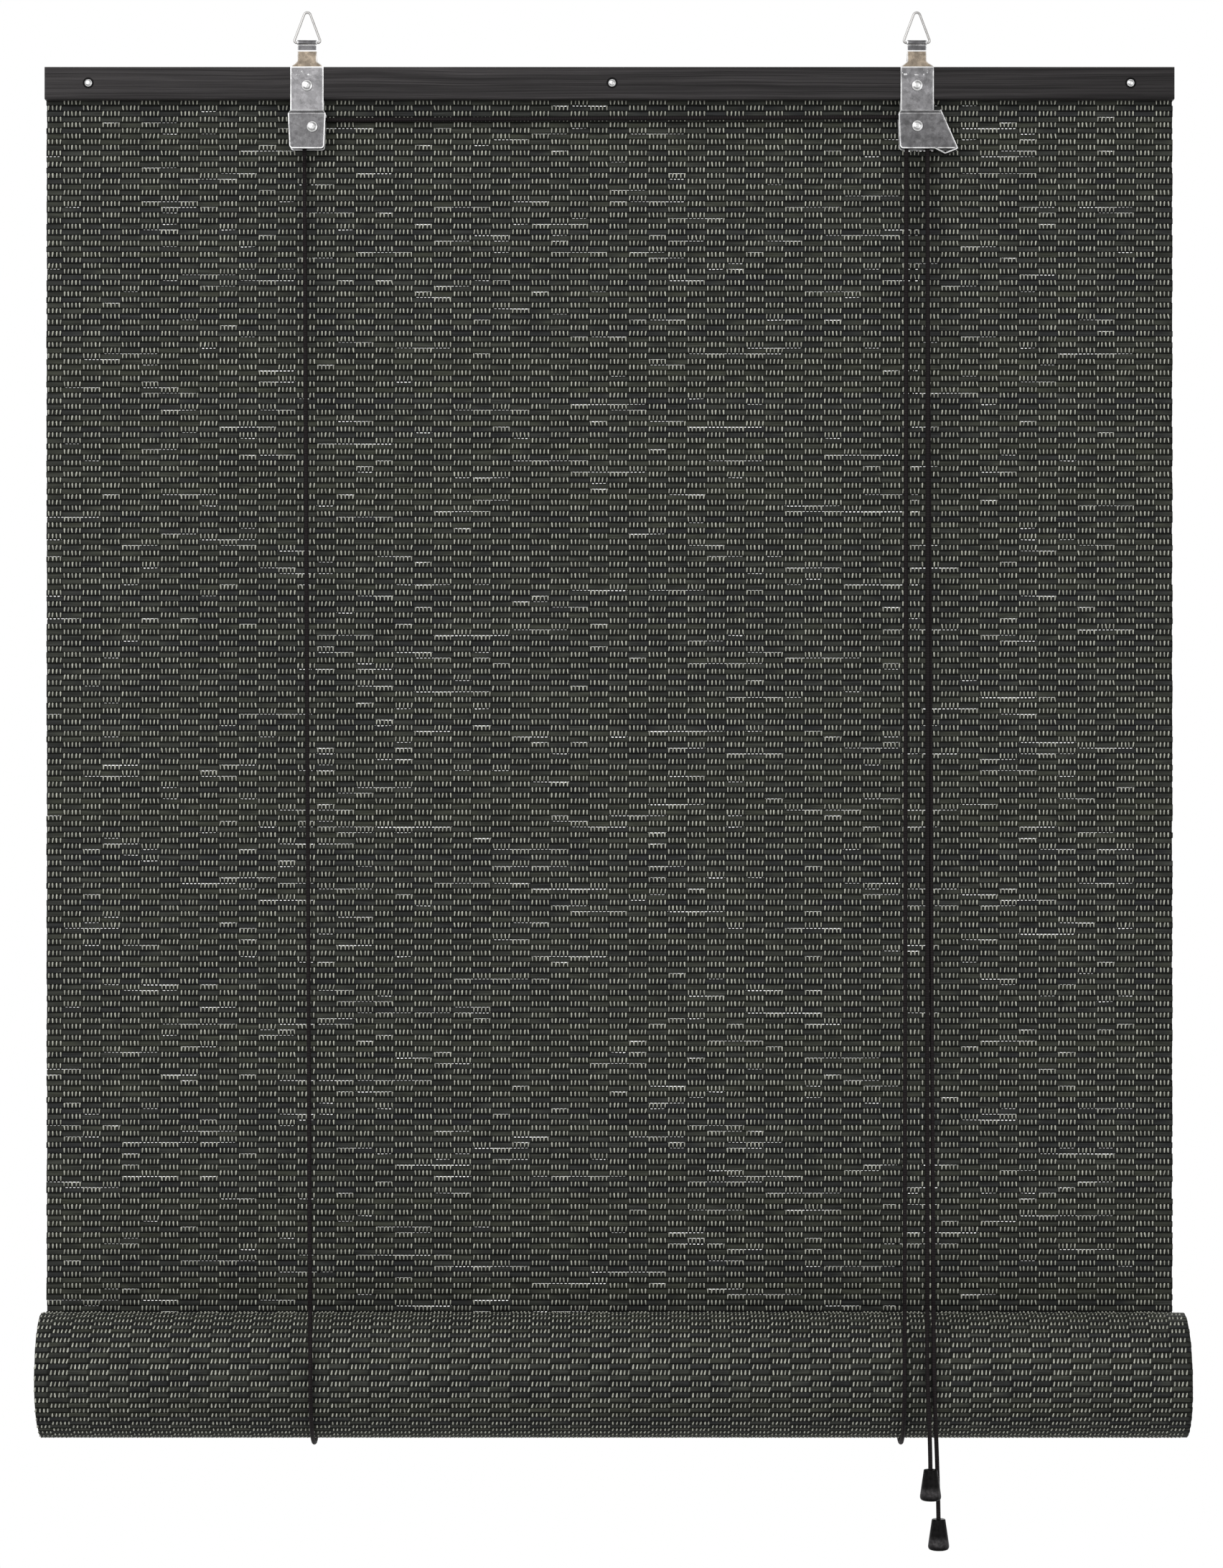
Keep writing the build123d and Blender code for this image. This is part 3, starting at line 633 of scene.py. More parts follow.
def slat_bar(row, x, depth, height, strip, strips):
    """Points, faces and maps of one slat. Strip is its own strip of the bake map."""
    stations = len(x)
    points = np.stack([np.repeat(x, section_edges), depth.ravel(), height.ravel()], 1)
    faces = np.concatenate([bar_faces(stations, section_edges), end_caps(stations)])
    across = np.array([0.2, 0.8, 1.0, 1.0, 0.8, 0.2, 0.0, 0.0])
    side = faces % section_edges
    back = (faces.min(1) % section_edges >= 3) & (np.arange(len(faces)) < (stations - 1) * section_edges)
    weave_u = band_place(points[faces, 0])
    weave_v = row + back[:, None] + np.clip(across[side], 0.02, 0.98)
    length = x[-1] - x[0]
    bake_u = (points[faces, 0] - x[0]) / length
    bake_v = (strip + 0.04 + 0.92 * side_places(faces, section_edges) / section_edges) / strips
    return points, faces, np.stack([weave_u, weave_v], 2), np.stack([bake_u, bake_v], 2)


def join_bars(name, bars):
    """One mesh object from many bars."""
    start = np.cumsum([0] + [len(b[0]) for b in bars])
    points = np.concatenate([b[0] for b in bars])
    faces = np.concatenate([b[1] + s for b, s in zip(bars, start)])
    weave = np.concatenate([b[2] for b in bars])
    bake = np.concatenate([b[3] for b in bars])
    piece = add_piece(name, points, faces, slat_finish, weave, bake)
    flat_edges(piece, pi / 5)
    return piece


def hanging_bars(first_row, last_row):
    """The slats of some rows of the hanging mat."""
    bars = []
    for row in range(first_row, last_row):
        above = slits.get(row - 1, [])
        left = mat_left + ragged_end * rng.random()
        right = mat_right - ragged_end * rng.random()
        stations = [left, right]
        for a, b, _, _ in above:
            stations += [a, a + slit_end, b - slit_end, b]
        x = np.unique(np.clip(stations, left, right))
        middle = weave_top - (row + 0.5) * slat_pitch
        half = np.full(len(x), slat_pitch / 2)
        depth, height = slat_section(half - slit_height(above, x), -half)
        bars.append(slat_bar(row, x, depth, middle + height, row - first_row, last_row - first_row))
    return bars


fixed_rows = 28
upper_slats = join_bars("upper_slats", hanging_bars(first_row, fixed_rows))
lower_slats = join_bars("lower_slats", hanging_bars(fixed_rows, rows))
print("slats:", len(upper_slats.data.polygons) + len(lower_slats.data.polygons), "faces")

# %% [markdown]
# A stitch is the visible loop of a yarn over one slat: a ridge with two shoulders and two tips that dive
# between the slats. Eight triangles give that shape, and there are more than thirty thousand on each side,
# so they are laid out by array. Each leans a little and sits a little off its place, as yarn does.


# %% Stitches
tip_sink, shoulder_sink = 0.35 * mm, 0.08 * mm
lean_spread, slip_spread = 0.14 * mm, 0.10 * mm
foot_share = 0.72
stitch_corners = np.array([
    [0, 1, 2], [0, 2, 3], [1, 4, 5], [1, 5, 2], [2, 5, 6], [2, 6, 3], [4, 7, 5], [5, 7, 6],
])
stitch_map = np.array([
    [0.5, 1], [0, 0.7], [0.5, 0.7], [1, 0.7], [0, 0.3], [0.5, 0.3], [1, 0.3], [0.5, 0],
])


def stitch_shape(count, half_width, mean_lean):
    """Eight points of each stitch: sideways, outwards from the slat and along the yarn."""
    wide = half_width * (0.86 + 0.28 * rng.random((count, 1)))
    lean = mean_lean + lean_spread * rng.standard_normal((count, 1))
    slip = slip_spread * rng.standard_normal((count, 1))
    reach = stitch_reach * (0.96 + 0.06 * rng.random((count, 1)))
    along = np.array([1, 0, 0, 0, 0, 0, 0, -1]) * reach
    along = along + np.array([0, 1, 1, 1, -1, -1, -1, 0]) * stitch_shoulder
    aside = np.array([0, -1, 0, 1, -foot_share, 0, foot_share, 0]) * wide
    aside = aside + along / stitch_reach * lean + slip
    ridge = [-shoulder_sink, stitch_rise, -shoulder_sink]
    out = np.array([-tip_sink, *ridge, *ridge, -tip_sink])
    return aside, np.broadcast_to(out, (count, 8)), along


def stitch_rows(row_numbers, parity):
    """Row and yarn of each stitch on one side of the mat."""
    row, yarn = np.meshgrid(row_numbers, np.arange(len(yarn_places)), indexing="ij")
    shown = (yarn_bands[yarn] + row) % 2 == parity
    return row[shown], yarn[shown]


def add_stitches(name, points, row, yarn):
    """One mesh object from the eight points of each stitch."""
    count = len(row)
    faces = (np.arange(count)[:, None, None] * 8 + stitch_corners).reshape(-1, 3)
    weave = np.stack([yarn, row], 1)[:, None, None, :] + 0.1 + 0.8 * stitch_map[stitch_corners]
    size = np.array([len(yarn_places), row.max() - row.min() + 1])
    bake = (weave - np.array([0, row.min()])) / size
    return add_piece(name, points.reshape(-1, 3), faces, yarn_finish, weave, bake)


def hanging_stitches(name, row_numbers, front):
    """Stitches on the front or the back of the hanging mat."""
    row, yarn = stitch_rows(row_numbers, 1 if front else 0)
    aside, out, along = stitch_shape(len(row), mat_half_width, mat_lean)
    turn = -1 if front else 1
    x = yarn_places[yarn][:, None] - turn * aside
    y = (slat_front if front else slat_back) + turn * out
    z = weave_top - (row[:, None] + 0.5) * slat_pitch + along + stitch_lift
    return add_stitches(name, np.stack([x, y, z], 2), row, yarn)


first_open_row = 5
half_way = (fixed_rows + rows) // 2
stitch_groups = {
    "upper": range(first_open_row, fixed_rows),
    "middle": range(fixed_rows, half_way),
    "lower": range(half_way, rows),
}
front_stitches = {k: hanging_stitches(k + "_front_yarns", list(g), True) for k, g in stitch_groups.items()}
back_stitches = {k: hanging_stitches(k + "_back_yarns", list(g), False) for k, g in stitch_groups.items()}
all_stitches = [*front_stitches.values(), *back_stitches.values()]
print("stitches:", sum(len(p.data.polygons) // len(stitch_corners) for p in all_stitches))

# %% [markdown]
# In an open slit the yarns can be seen crossing from one slat to the next. They lie in the shade between the
# slats, so a flat ribbon in front and one behind are enough for each.

# %% Yarns across the slits
ribbon_half, ribbon_overlap = 0.55 * mm, 0.15 * mm
ribbon_slip = 0.12 * mm


def slit_yarns(name, row_numbers):
    """Yarns that cross the open slits below some rows, as a ribbon in front and one behind."""
    corners = []
    for row in row_numbers:
        for left, right, near, far in slits.get(row, []):
            top = weave_top - (row + 1) * slat_pitch + ribbon_overlap
            low = top - max(near, far) - 2 * ribbon_overlap
            for x in yarn_places[(yarn_places > left) & (yarn_places < right)]:
                x = x + ribbon_slip * rng.standard_normal()
                a, b = x - ribbon_half, x + ribbon_half
                for y in (slat_front + slat_edge, slat_back - slat_edge):
                    corners.append([(a, y, low), (b, y, low), (b, y, top), (a, y, top)])
    points = np.array(corners)
    count = len(points)
    faces = np.arange(count * 4).reshape(-1, 4)
    square = np.array([(0, 0), (1, 0), (1, 1), (0, 1)])
    across = int(np.ceil(np.sqrt(count)))
    cell = np.stack([np.arange(count) % across, np.arange(count) // across], 1)[:, None, :]
    weave = cell + 0.1 + 0.8 * square
    return add_piece(name, points.reshape(-1, 3), faces, shaded_finish, weave, weave / across)


crossing_yarns = {
    "upper": slit_yarns("upper_slit_yarns", range(fixed_rows - 1)),
    "lower": slit_yarns("lower_slit_yarns", range(fixed_rows - 1, rows)),
}
print("ribbons:", sum(len(p.data.polygons) for p in crossing_yarns.values()))

# %% [markdown]
# When the cord is pulled the mat goes round the roll, and what is left hanging gets shorter. The top of the
# mat, down to where the roll ends its travel, never changes. In the blind the rest folds up towards that line
# as the roll rises and is hidden behind the roll when it arrives; here the pieces below that line are kept
# apart from the top ones and get meshes of their own.


# %% Hang the mat
still_pieces = [upper_slats]
moving_pieces = [lower_slats]
for group in (front_stitches, back_stitches, crossing_yarns):
    still_pieces += [piece for name, piece in group.items() if name == "upper"]
    moving_pieces += [piece for name, piece in group.items() if name != "upper"]
for piece in still_pieces + moving_pieces:
    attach(piece, "head")
    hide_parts("hanging_mat")
for piece in moving_pieces:
    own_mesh(piece)
print("mat:", len(still_pieces), "still pieces and", len(moving_pieces), "that fold up")

# %% [markdown]
# The roll is the same mat, wound down behind, under and up the front, about seven turns to the bottom lath.
# Each slat of the spiral is a bar turned to lie along the winding. The outermost turn shows the back of the
# mat, so it carries stitches. Inner turns show only at the ends, where they are wound a little unevenly.


# %% Winding
roll_low, roll_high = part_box("rolled_mat")
roll_radius = 46.0 * mm
roll_wind = 4.4 * mm
core_radius = 12.0 * mm
roll_y = mat_high.y - roll_radius
roll_z = mat_top - rows * slat_pitch
roll_middle = (roll_low.x + roll_high.x) / 2


def wound_radius(angle):
    """Outside radius of the roll after an angle of winding."""
    return roll_radius - roll_wind * angle / (2 * pi)


def wound_angles():
    """Angle of the middle of each slat along the winding."""
    angles, angle = [], -slat_pitch / (2 * roll_radius)
    while wound_radius(angle) - (slat_back - slat_front) > core_radius:
        step = slat_pitch / wound_radius(angle)
        angles.append(angle + step / 2)
        angle += step
    return np.array(angles)


def wound_place(angle, out, along):
    """Depth and height of points beside a slat: outwards from its radius and along the winding."""
    radius = wound_radius(angle) + out
    y = roll_y + radius * np.cos(angle) - along * np.sin(angle)
    z = roll_z - radius * np.sin(angle) - along * np.cos(angle)
    return y, z


roll_angles = wound_angles()
outer_turn = int(np.searchsorted(roll_angles, 2 * pi))
print("winding:", len(roll_angles), "slats,", outer_turn, "of them on the outermost turn")

# %% Slats and stitches of the roll
turn_creep = 1.6 * mm
roll_ragged_end = 0.3 * mm


def roll_bars():
    """The slats of the roll, with their ends stepped a little from turn to turn."""
    bars = []
    half = np.array([slat_pitch / 2])
    depth, height = slat_section(half, -half)
    for number, angle in enumerate(roll_angles):
        shift = -turn_creep * (0.5 - 0.5 * cos(0.45 * angle))
        left = roll_low.x + shift + roll_ragged_end * rng.random()
        right = roll_high.x + shift - roll_ragged_end * rng.random()
        y, z = wound_place(angle, depth[0] - mat_high.y, height[0])
        ends = np.array([left, right])
        y, z = np.stack([y, y]), np.stack([z, z])
        bars.append(slat_bar(rows + number, ends, y, z, number, len(roll_angles)))
    return bars


def roll_stitches():
    """Stitches on the outermost turn, where the back of the mat faces out."""
    row, yarn = stitch_rows(np.arange(rows, rows + outer_turn), 0)
    aside, out, along = stitch_shape(len(row), roll_half_width, roll_lean)
    angle = roll_angles[row - rows][:, None]
    x = yarn_places[yarn][:, None] + roll_middle + aside
    y, z = wound_place(angle, out - stitch_rise, -along - stitch_lift)
    return add_stitches("roll_yarns", np.stack([x, y, z], 2), row, yarn)


roll_slats = join_bars("roll_slats", roll_bars())
roll_yarns = roll_stitches()
for piece in (roll_slats, roll_yarns):
    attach(piece, "roll")
    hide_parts("rolled_mat")
print("roll:", len(roll_yarns.data.polygons) // len(stitch_corners), "stitches")

# %% [markdown]
# Cords are tubes along a smooth line. The line is a NURBS curve through a few given points; Blender
# turns it into a row of points, and a ring of twelve corners is swept along them.


# %% Cord tubes
cord_diameter = 3.0 * mm
cord_sides = 12
tip_reach = 0.01 * mm
tip_share = 0.15


def smooth_line(route, steps=24):
    """Points along the NURBS line of a route."""
    data = bpy.data.curves.new("route", "CURVE")
    data.dimensions = "3D"
    data.resolution_u = steps
    line = data.splines.new("NURBS")
    line.points.add(len(route) - 1)
    for point, place in zip(line.points, route):
        point.co = (*place, 1)
    line.order_u = 3
    line.use_endpoint_u = True
    holder = bpy.data.objects.new("route", data)
    mesh = bpy.data.meshes.new_from_object(holder)
    points = np.array([v.co for v in mesh.vertices])
    bpy.data.objects.remove(holder)
    bpy.data.meshes.remove(mesh)
    return points


def tube(points, radius, sides, closed=False):
    """Rings swept along a line without twist, and the distance of each ring from the start."""
    ahead = np.roll(points, -1, 0) - np.roll(points, 1, 0)
    if not closed:
        ahead[0], ahead[-1] = points[1] - points[0], points[-1] - points[-2]
    ahead /= np.linalg.norm(ahead, axis=1)[:, None]
    across = np.cross(ahead[0], (1.0, 0.0, 0.0) if abs(ahead[0][0]) < 0.9 else (0.0, 1.0, 0.0))
    turn = 2 * pi * np.arange(sides) / sides
    rings = []
    for place, way in zip(points, ahead):
        across = across - way * (across @ way)
        across /= np.linalg.norm(across)
        up = np.cross(way, across)
        rings.append(place + radius * (np.cos(turn)[:, None] * across + np.sin(turn)[:, None] * up))
    gaps = np.linalg.norm(np.diff(points, axis=0), axis=1)
    return np.array(rings), np.concatenate([[0], np.cumsum(gaps)])


def cord_piece(name, points):
    """A braided cord along a line, drawn in to a small tip at both ends."""
    radius, sides = cord_diameter / 2, cord_sides
    way_in, way_out = points[0] - points[1], points[-1] - points[-2]
    rings, far = tube(points, radius, sides)
    start = points[0] + way_in / np.linalg.norm(way_in) * tip_reach + (rings[0] - points[0]) * tip_share
    end = points[-1] + way_out / np.linalg.norm(way_out) * tip_reach + (rings[-1] - points[-1]) * tip_share
    rings = np.concatenate([[start], rings, [end]])
    far = np.concatenate([[far[0]], far, [far[-1]]])
    faces = bar_faces(len(rings), sides)
    ring = faces // sides
    side = side_places(faces, sides)
    weave = np.stack([side / sides, far[ring] / (2 * radius)], 2)
    bake = np.stack([ring / (len(rings) - 1), side / sides], 2)
    return add_piece(name, rings.reshape(-1, 3), faces, cord_finish, weave, bake)


def roll_tangent(start, x, radius):
    """Where a cord from a pulley first lies on the front of the roll."""
    y, z = start[1] - roll_y, start[2] - roll_z
    turn = atan2(z, y) + acos(radius / hypot(y, z))
    return (x, roll_y + radius * cos(turn), roll_z + radius * sin(turn))


print("cord:", cord_diameter / mm, "mm thick")

# %% [markdown]
# The left lift cord comes up from the roll, over the guide pulley, along the rail and down through the lock.
# The right one only turns over the lock's front groove. Both go under the roll, up behind the mat and end in
# knots on the back lath. Where a cord goes round a pulley, one control point at the corner of the bend makes
# the line leave the runs halfway, which is just the pulley's arc. A run that shortens stays straight and
# would pass through the raised roll, so its lowest few centimetres belong to the sling and go up with it.

# %% Routes of the lift cords
cord_exit = -102.2 * mm
rear_groove, front_groove = 1.3 * mm, -3.0 * mm
guide_up, lock_up, lock_down = -218.1 * mm, 208.5 * mm, 223.5 * mm
guide_top, lock_top = -75.0 * mm, -72.9 * mm
guide_axle, lock_axle = -81.0 * mm, -80.4 * mm
guide_middle, lock_middle = -212.1 * mm, 216.0 * mm
sling_places = {"left": -207.9 * mm, "right": 201.6 * mm}
knot_places = {"left": -216.0 * mm, "right": 216.0 * mm}
sling_radius = 47.8 * mm
cord_hole = 10.6 * mm
entries = {"left": (guide_up, rear_groove, cord_exit), "right": (lock_up, front_groove, cord_exit)}
lift = next(j for j in frame["joints"] if j["name"] == "roll_lift")["range_m"][1]
carried_gap = 1.5 * mm

cross_route = [
    entries["left"],
    (guide_up, rear_groove, 2 * guide_axle - guide_top),
    (guide_up, rear_groove, guide_top),
    (2 * guide_middle - guide_up, rear_groove, guide_top),
    (2 * lock_middle - lock_down, rear_groove, lock_top),
    (lock_down, rear_groove, lock_top),
    (lock_down, rear_groove, 2 * lock_axle - lock_top),
    (lock_down, rear_groove, cord_exit),
]
lock_route = [
    entries["right"],
    (lock_up, front_groove, 2 * lock_axle - lock_top),
    (lock_up, front_groove, lock_top),
    (lock_down, front_groove, lock_top),
    (lock_down, front_groove, 2 * lock_axle - lock_top),
    (lock_down, front_groove, cord_exit),
]


def carried_place(start, touch):
    """The point of a straight run that the raised roll carries up to just under the housings."""
    share = (lift + carried_gap) / (start[2] - touch[2])
    return tuple(a + (b - a) * share for a, b in zip(start, touch))


def sling_route(side):
    """Down to the roll, then round its front and underside: corners of a ring about the cord's own ring."""
    start = roll_tangent(entries[side], sling_places[side], sling_radius)
    first = atan2(start[2] - roll_z, start[1] - roll_y)
    steps = 8
    step = (2 * pi - first) / steps
    outer = sling_radius / cos(step / 2)
    turns = [first + step * (n + 0.5) for n in range(steps)]
    corners = [(start[0], roll_y + outer * cos(t), roll_z + outer * sin(t)) for t in turns]
    return [carried_place(entries[side], start), start, *corners, (start[0], roll_y + sling_radius, roll_z)]


print("lift:", lift, "m")


# %% Lift cords
def shortening(piece, anchor, low):
    """A cord hung on the head, with a mesh of its own."""
    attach(piece, "head")
    1 - lift / (anchor - low)
    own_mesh(piece)


for name, route in (("cross_cord", cross_route), ("lock_turn_cord", lock_route)):
    piece = cord_piece(name + "_braid", smooth_line(route))
    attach(piece, "head")
    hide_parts(name)
for side, x in sling_places.items():
    touch = roll_tangent(entries[side], x, sling_radius)
    split = carried_place(entries[side], touch)
    front = cord_piece(side + "_front_braid", smooth_line([entries[side], split]))
    shortening(front, cord_exit, split[2])
    sling = cord_piece(side + "_sling_braid", smooth_line(sling_route(side), 8))
    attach(sling, "slings")
    behind = [(x, roll_y + sling_radius, roll_z), (knot_places[side], cord_hole, mat_top)]
    back = cord_piece(side + "_back_braid", smooth_line(behind))
    shortening(back, mat_top, roll_z)
    for piece, node in ((front, "_front_cord"), (sling, "_sling"), (back, "_back_cord")):
        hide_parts(side + node)
print("lift cords:", ", ".join(sling_places))

# %% [markdown]
# The pull cords hang free from the lock, lie over the front of the roll and end in the pulls. The stretch
# above the roll shortens as the roll rises, and the stretch below it runs out, so each cord is two pieces.
# They meet a little above the roll, as on the lift cords. A point a few diameters under the lock, and one as
# far above the roll, keep the line straight there.

# %% Pull cords
pull_cord_radius = 48.1 * mm
knot_seat_drop = 12.4 * mm
tail_rise = 12.0 * mm
upright = 18.0 * mm
pulls = {
    "upper": {"exit": (lock_down, front_groove, cord_exit), "lead": 217.1 * mm,
              "place": (218.8 * mm, -95.0 * mm, -1016.6 * mm)},
    "lower": {"exit": (lock_down, rear_groove, cord_exit), "lead": 221.7 * mm,
              "place": (224.9 * mm, -87.4 * mm, -1051.9 * mm)},
}


def line_length(points):
    """Length of a row of points."""
    return float(np.linalg.norm(np.diff(points, axis=0), axis=1).sum())


for which, pull in pulls.items():
    touch = Vector(roll_tangent(pull["exit"], pull["lead"], pull_cord_radius))
    split = Vector(carried_place(pull["exit"], touch))
    down = (touch - split).normalized() * upright
    line = smooth_line([pull["exit"], Vector(pull["exit"]) + down, split])
    lead = cord_piece(which + "_lead_braid", line)
    shortening(lead, cord_exit, split.z)
    top = Vector(pull["place"])
    seat = top - Vector((0, 0, knot_seat_drop))
    tail_line = smooth_line([split, touch - down, touch, top + Vector((0, 0, tail_rise)), seat])
    tail = cord_piece(which + "_tail_braid", tail_line)
    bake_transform(tail)
    pull["tail"], pull["tail_line"], pull["split"] = tail, tail_line, split
    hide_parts(which + "_pull_lead")
    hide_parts(which + "_pull_tail")
    print(which, "pull cord:", round(line_length(line) + line_length(tail_line), 3), "m")

# %% [markdown]
# Knots are real overhand loops: a trefoil line swept with the cord's tube. Pulls are turned, so each is a
# profile spun round the cord: a flat top with a cord hole, flaring sides, a rounded foot and a cup below
# that hides the knot.


# %% Turned pieces and knots
knot_size, knot_thick, knot_stand = 0.62 * mm, 1.15 * mm, 2.55 * mm
knot_steps, knot_sides = 60, 10


def spin(name, profile, place, finish, sides=40, axis="z"):
    """A turned piece: a profile of radius and height spun about an axis through a place."""
    profile = np.array(profile)
    turn = 2 * pi * np.arange(sides) / sides
    flat = np.stack([np.outer(profile[:, 0], np.cos(turn)), np.outer(profile[:, 0], np.sin(turn)),
                     np.repeat(profile[:, 1:2], sides, 1)], 2)
    if axis == "y":
        flat = np.stack([flat[..., 0], flat[..., 2], -flat[..., 1]], 2)
    points = flat.reshape(-1, 3) + np.array(place)
    faces = bar_faces(len(profile), sides)
    side = side_places(faces, sides)
    ring = faces // sides
    weave = np.stack([side / sides, profile[ring, 0] / profile[:, 0].max()], 2)
    bake = np.stack([side / sides, ring / (len(profile) - 1)], 2)
    return add_piece(name, points, faces, finish, weave, bake)


def knot(name, node, seat, side):
    """A tied knot standing on a seat, on the given side of it."""
    t = 2 * pi * np.arange(knot_steps) / knot_steps
    line = np.stack([np.sin(t) + 2 * np.sin(2 * t), np.cos(t) - 2 * np.cos(2 * t), -1.7 * np.sin(3 * t)], 1)
    line = line * knot_size + np.array(seat) + np.array([0, 0, side * knot_stand])
    rings, _ = tube(np.concatenate([line, line[:1]]), knot_thick, knot_sides, True)
    faces = bar_faces(len(rings), knot_sides)
    ring = faces // knot_sides
    around = side_places(faces, knot_sides) / knot_sides
    bake = np.stack([ring / (len(rings) - 1), around], 2)
    weave = np.stack([around, ring * 0.4], 2)
    piece = add_piece(name, rings.reshape(-1, 3), faces, cord_finish, weave, bake)
    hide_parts(node)
    return piece


print("turning and knots ready")

# %% Knots and pulls
pull_top_edge = [(1.75, -3.0), (1.75, -0.2), (2.1, 0.0), (4.2, 0.0), (4.62, -0.25), (4.8, -0.9)]
pull_sides = [(5.25, -4.0), (5.85, -8.0), (6.5, -12.5), (7.0, -16.0), (7.28, -18.0)]
pull_foot = [(7.3, -19.0), (7.0, -20.1), (6.3, -20.9), (5.2, -21.3), (4.2, -21.4)]
pull_cup = [(3.75, -21.1), (3.65, -20.5), (3.65, -13.0), (3.5, -12.4), (1.75, -12.4), (1.75, -3.0)]
pull_profile = np.array(pull_top_edge + pull_sides + pull_foot + pull_cup) * mm
for side, x in knot_places.items():
    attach(knot(side + "_lath_knot", side + "_top_knot", (x, cord_hole, mat_top), 1), "head")
for which, pull in pulls.items():
    top = Vector(pull["place"])
    bell = spin(which + "_bell", pull_profile, pull["place"], pull_finish)
    flat_edges(bell, pi / 4)
    end_knot = knot(which + "_bell_knot", which + "_pull_knot", top - Vector((0, 0, knot_seat_drop)), -1)
    for piece in (bell, end_knot):
        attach(piece, which + "_pull")
    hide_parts(which + "_pull")
print("pulls:", ", ".join(pulls))

# %% [markdown]
# Rivet heads are pressed domes. The clamp rivets sit in small sunk rings in the lath, and the hanger rivets
# and axles stand on the sheet. Each node's heads are joined in one piece, with the shank left inside.


# %% Rivets
def rivet_profile(head, rise, shank, length):
    """A dome that bulges towards the room, a short rim and the shank behind it."""
    dome = [(head * sin(a), -rise * (0.18 + 0.82 * cos(a))) for a in np.linspace(0.02, pi / 2, 9)]
    return [*dome, (head, 0), (shank, 0), (shank, length), (0.02 * shank, length)]


def rivets(name, node, places, head, rise, shank, length):
    """All the rivets of one node as one piece."""
    made = [spin(f"{name}_{n}", rivet_profile(head, rise, shank, length), p, rivet_finish, 28, "y")
            for n, p in enumerate(places)]
    with bpy.context.temp_override(active_object=made[0], selected_editable_objects=made):
        bpy.ops.object.join()
    piece = made[0]
    piece.name = name
    piece.data.uv_layers.remove(piece.data.uv_layers["OFBake"])
    flat_edges(piece, pi / 4)
    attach(piece, "head")
    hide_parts(node)
    return piece


rail_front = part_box("front_batten")[0].y
sink, sheet = 0.5 * mm, 0.8 * mm
clamp_seat, plate_seat, housing_seat = rail_front + sink, rail_front - sheet, -6.9 * mm
clamp_size, hanger_size = (2.85 * mm, 1.5 * mm), (4.0 * mm, 1.9 * mm)
hanger_places = (-216.0 * mm, 216.0 * mm)
hanger_rivet_height = -51.5 * mm
for name, node, places_x, z, seat, (head, shank) in (
    ("clamp_rivet_heads", "clamp_rivets", rivet_places, rivet_height, clamp_seat, clamp_size),
    ("hanger_rivet_heads", "hanger_rivets", hanger_places, hanger_rivet_height, plate_seat, hanger_size),
    ("guide_axle_head", "guide_axle", (guide_middle,), guide_axle, housing_seat, hanger_size),
    ("lock_axle_head", "lock_axle", (lock_middle,), lock_axle, housing_seat, hanger_size),
):
    low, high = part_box(node)
    rivets(name, node, [(x, seat, z) for x in places_x], head, seat - low.y, shank, high.y - seat)
    print(name, len(places_x))

# %% [markdown]
# The folded hangers, wire rings, wheels and laths have their true shapes in the solids. They keep their
# meshes and only get finishes. Pressed sheet has soft edges that catch the light, so the hangers get a fine
# bevel: welding joins the faces first, because the frame's faces come separate. The bevel's faces get the
# pale edge finish, a painted highlight along the edges.
# bevel: welding joins the faces first, because the frame's faces come separate.

# %% Finishes of the solid pieces
solid_finishes = {
    lath_finish: ("front_batten", "back_batten", "bottom_batten"),
    sheet_finish: ("pulley_hanger", "lock_hanger"),
    wire_finish: ("left_ring", "right_ring"),
    wheel_finish: ("guide_pulley", "lock_pulley", "lock_roller"),
}
for finish, names in solid_finishes.items():
    for name in names:
        nodes[name].data.materials.clear()
        nodes[name].data.materials.append(finish)
edge_softness = 0.38 * mm
for name in solid_finishes[sheet_finish]:
    weld = nodes[name].modifiers.new("weld", "WELD")
    weld.merge_threshold = 0.001 * mm
    bevel = nodes[name].modifiers.new("soft edges", "BEVEL")
    bevel.width = edge_softness
    bevel.segments = 2
    bevel.limit_method = "ANGLE"
    bevel.angle_limit = pi / 6
    # Painted highlight: the bevel's faces get the pale edge finish.
    nodes[name].data.materials.append(edge_highlight_finish)
    bevel.material = 1
print("solid pieces finished:", sum(len(n) for n in solid_finishes.values()))

# %% [markdown]
# The light is plain: one large soft lamp from the upper left, a weaker one from the right, one behind for the
# back of the mat, and a pale world. Powers are worked out so that a white card facing a lamp would get the
# stated share of full white. The background is white because the world and the floor show white to camera and
# mirror rays only.


# %% Lamps
def soft_lamp(name, place, size, share):
    """A square lamp aimed at the middle of the blind, giving a share of full white there."""
    data = bpy.data.lights.new(name, "AREA")
    data.size = size
    lamp = bpy.data.objects.new(name, data)
    aim = Vector((0, 0, picture_middle[1]))
    way = aim - Vector(place)
    data.energy = share * pi * pi * way.length_squared
    lamp.location = place
    lamp.rotation_euler = way.to_track_quat("-Z", "Y").to_euler()
    bpy.context.scene.collection.objects.link(lamp)


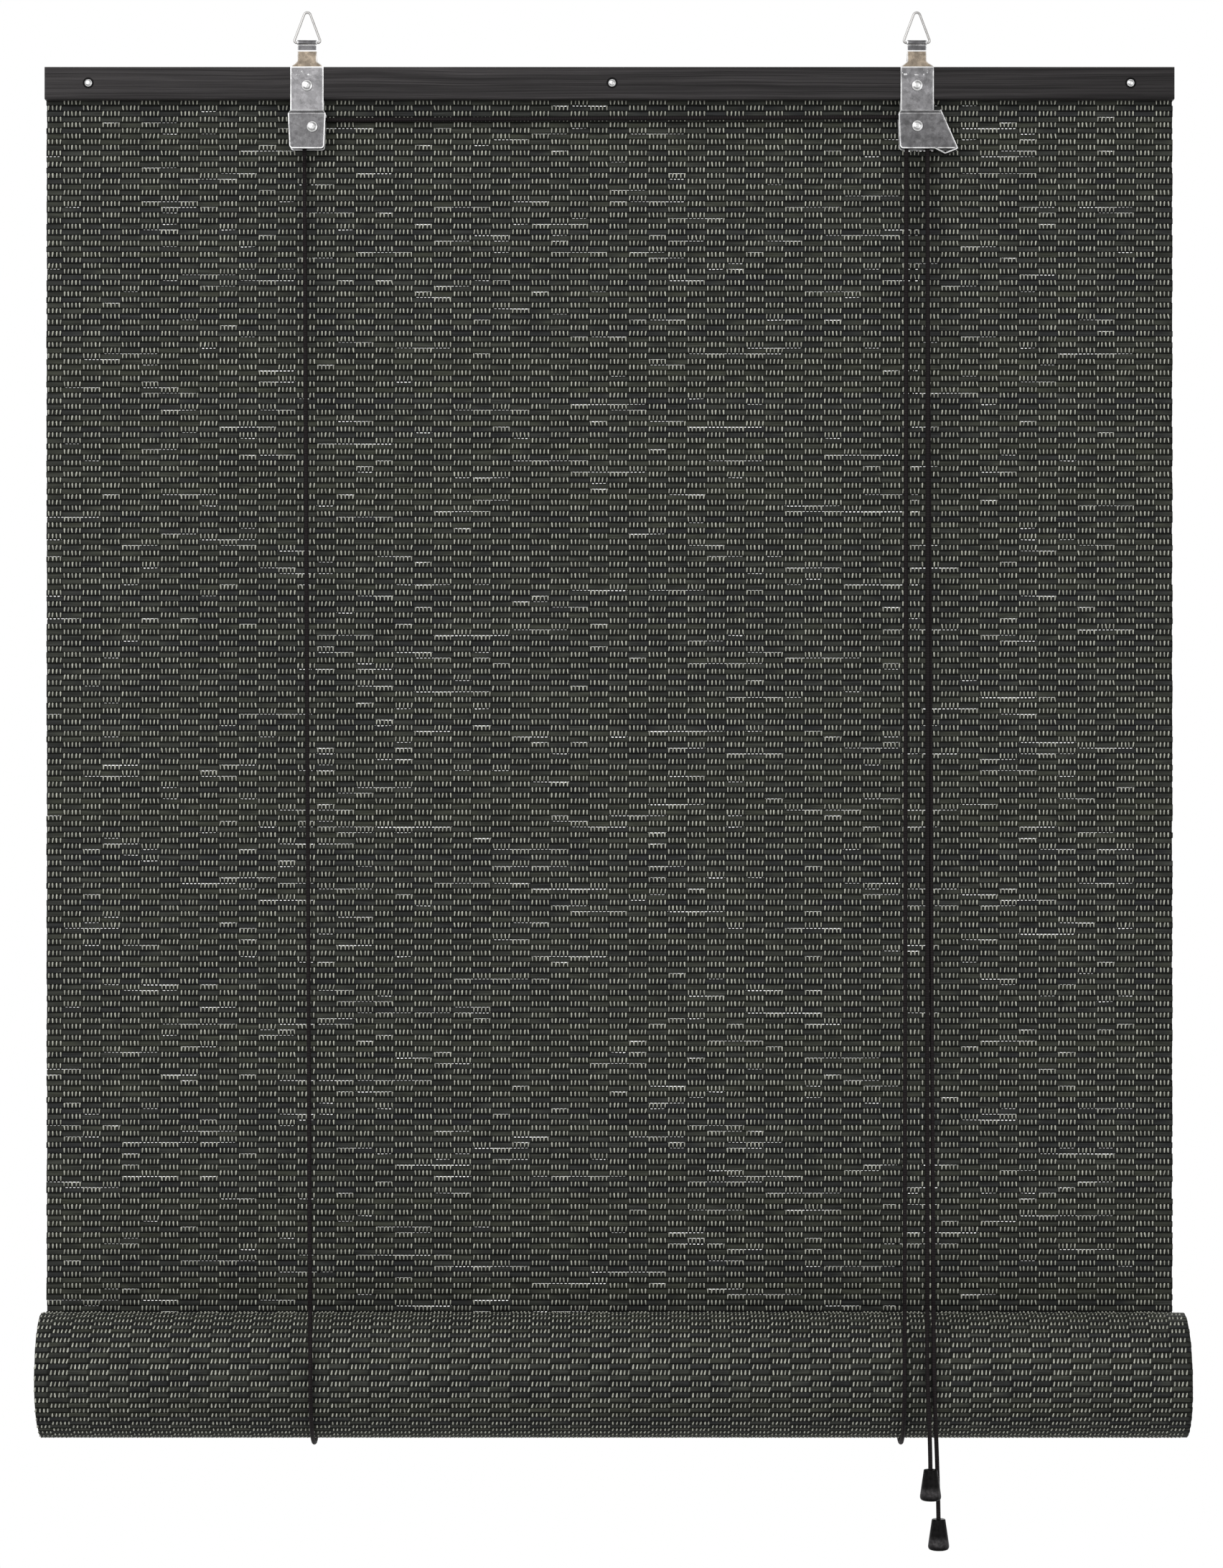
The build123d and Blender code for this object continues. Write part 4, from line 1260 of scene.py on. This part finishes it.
soft_lamp("key lamp", (-1.5, -2.6, 0.9), 2.2, 0.42)
soft_lamp("fill lamp", (2.0, -2.4, -0.3), 2.0, 0.18)
soft_lamp("rear lamp", (0.6, 2.4, 0.8), 2.0, 0.35)
print("lamps:", len(bpy.data.lights))


# %% World and floor
def shown_rays(field):
    """1 for rays from the camera, from mirrors and through glass."""
    camera_ray, glossy_ray, through_ray = [
        field.node("ShaderNodeLightPath", None, None, kind)
        for kind in ("Is Camera Ray", "Is Glossy Ray", "Is Transmission Ray")
    ]
    return camera_ray.maths("MAXIMUM", glossy_ray).maths("MAXIMUM", through_ray)


world = bpy.data.worlds.new("studio")
bpy.context.scene.world = world
world.use_nodes = True
sky = Field(world.node_tree)
dim = sky.node("ShaderNodeBackground", None, {"Color": (1, 1, 1, 1), "Strength": 0.45})
white = sky.node("ShaderNodeBackground", None, {"Color": (1, 1, 1, 1), "Strength": 1.0})
both = sky.node("ShaderNodeMixShader", None, {0: shown_rays(sky), 1: dim, 2: white})
world.node_tree.links.new(both.socket, world.node_tree.nodes["World Output"].inputs["Surface"])

floor_drop = 2.9
floor_half = 6.0
corners = np.array([(-1, -1), (1, -1), (1, 1), (-1, 1)]) * floor_half
floor_even = {"Base Color": (0.8, 0.8, 0.8, 1), "Roughness": 0.9}
floor_finish, floor_shader, floor_start = new_finish("pale_floor", floor_even)
floor_place = object_place(floor_start)
away = floor_place.node("ShaderNodeVectorMath", {"operation": "LENGTH"}, {0: floor_place.scaled(1, 1, 0)}, 1)
glow = floor_start.node("ShaderNodeEmission", None, {"Color": (1, 1, 1, 1), "Strength": 1.0})
showing = shown_rays(floor_start) * away.ramp(0.2 * floor_half, 0.9 * floor_half, 0.85, 1.0)
floor_mix = floor_start.node("ShaderNodeMixShader", None, {0: showing, 2: glow})
floor_tree = floor_finish.node_tree
floor_tree.links.new(floor_shader.outputs["BSDF"], floor_mix.socket.node.inputs[1])
floor_tree.links.new(floor_mix.socket, floor_tree.nodes["Material Output"].inputs["Surface"])
floor_points = np.column_stack([corners, np.full(4, -floor_drop)])
floor = add_piece("floor", floor_points, np.array([[0, 1, 2, 3]]), floor_finish)
print("floor", floor_drop, "m below the eyes")
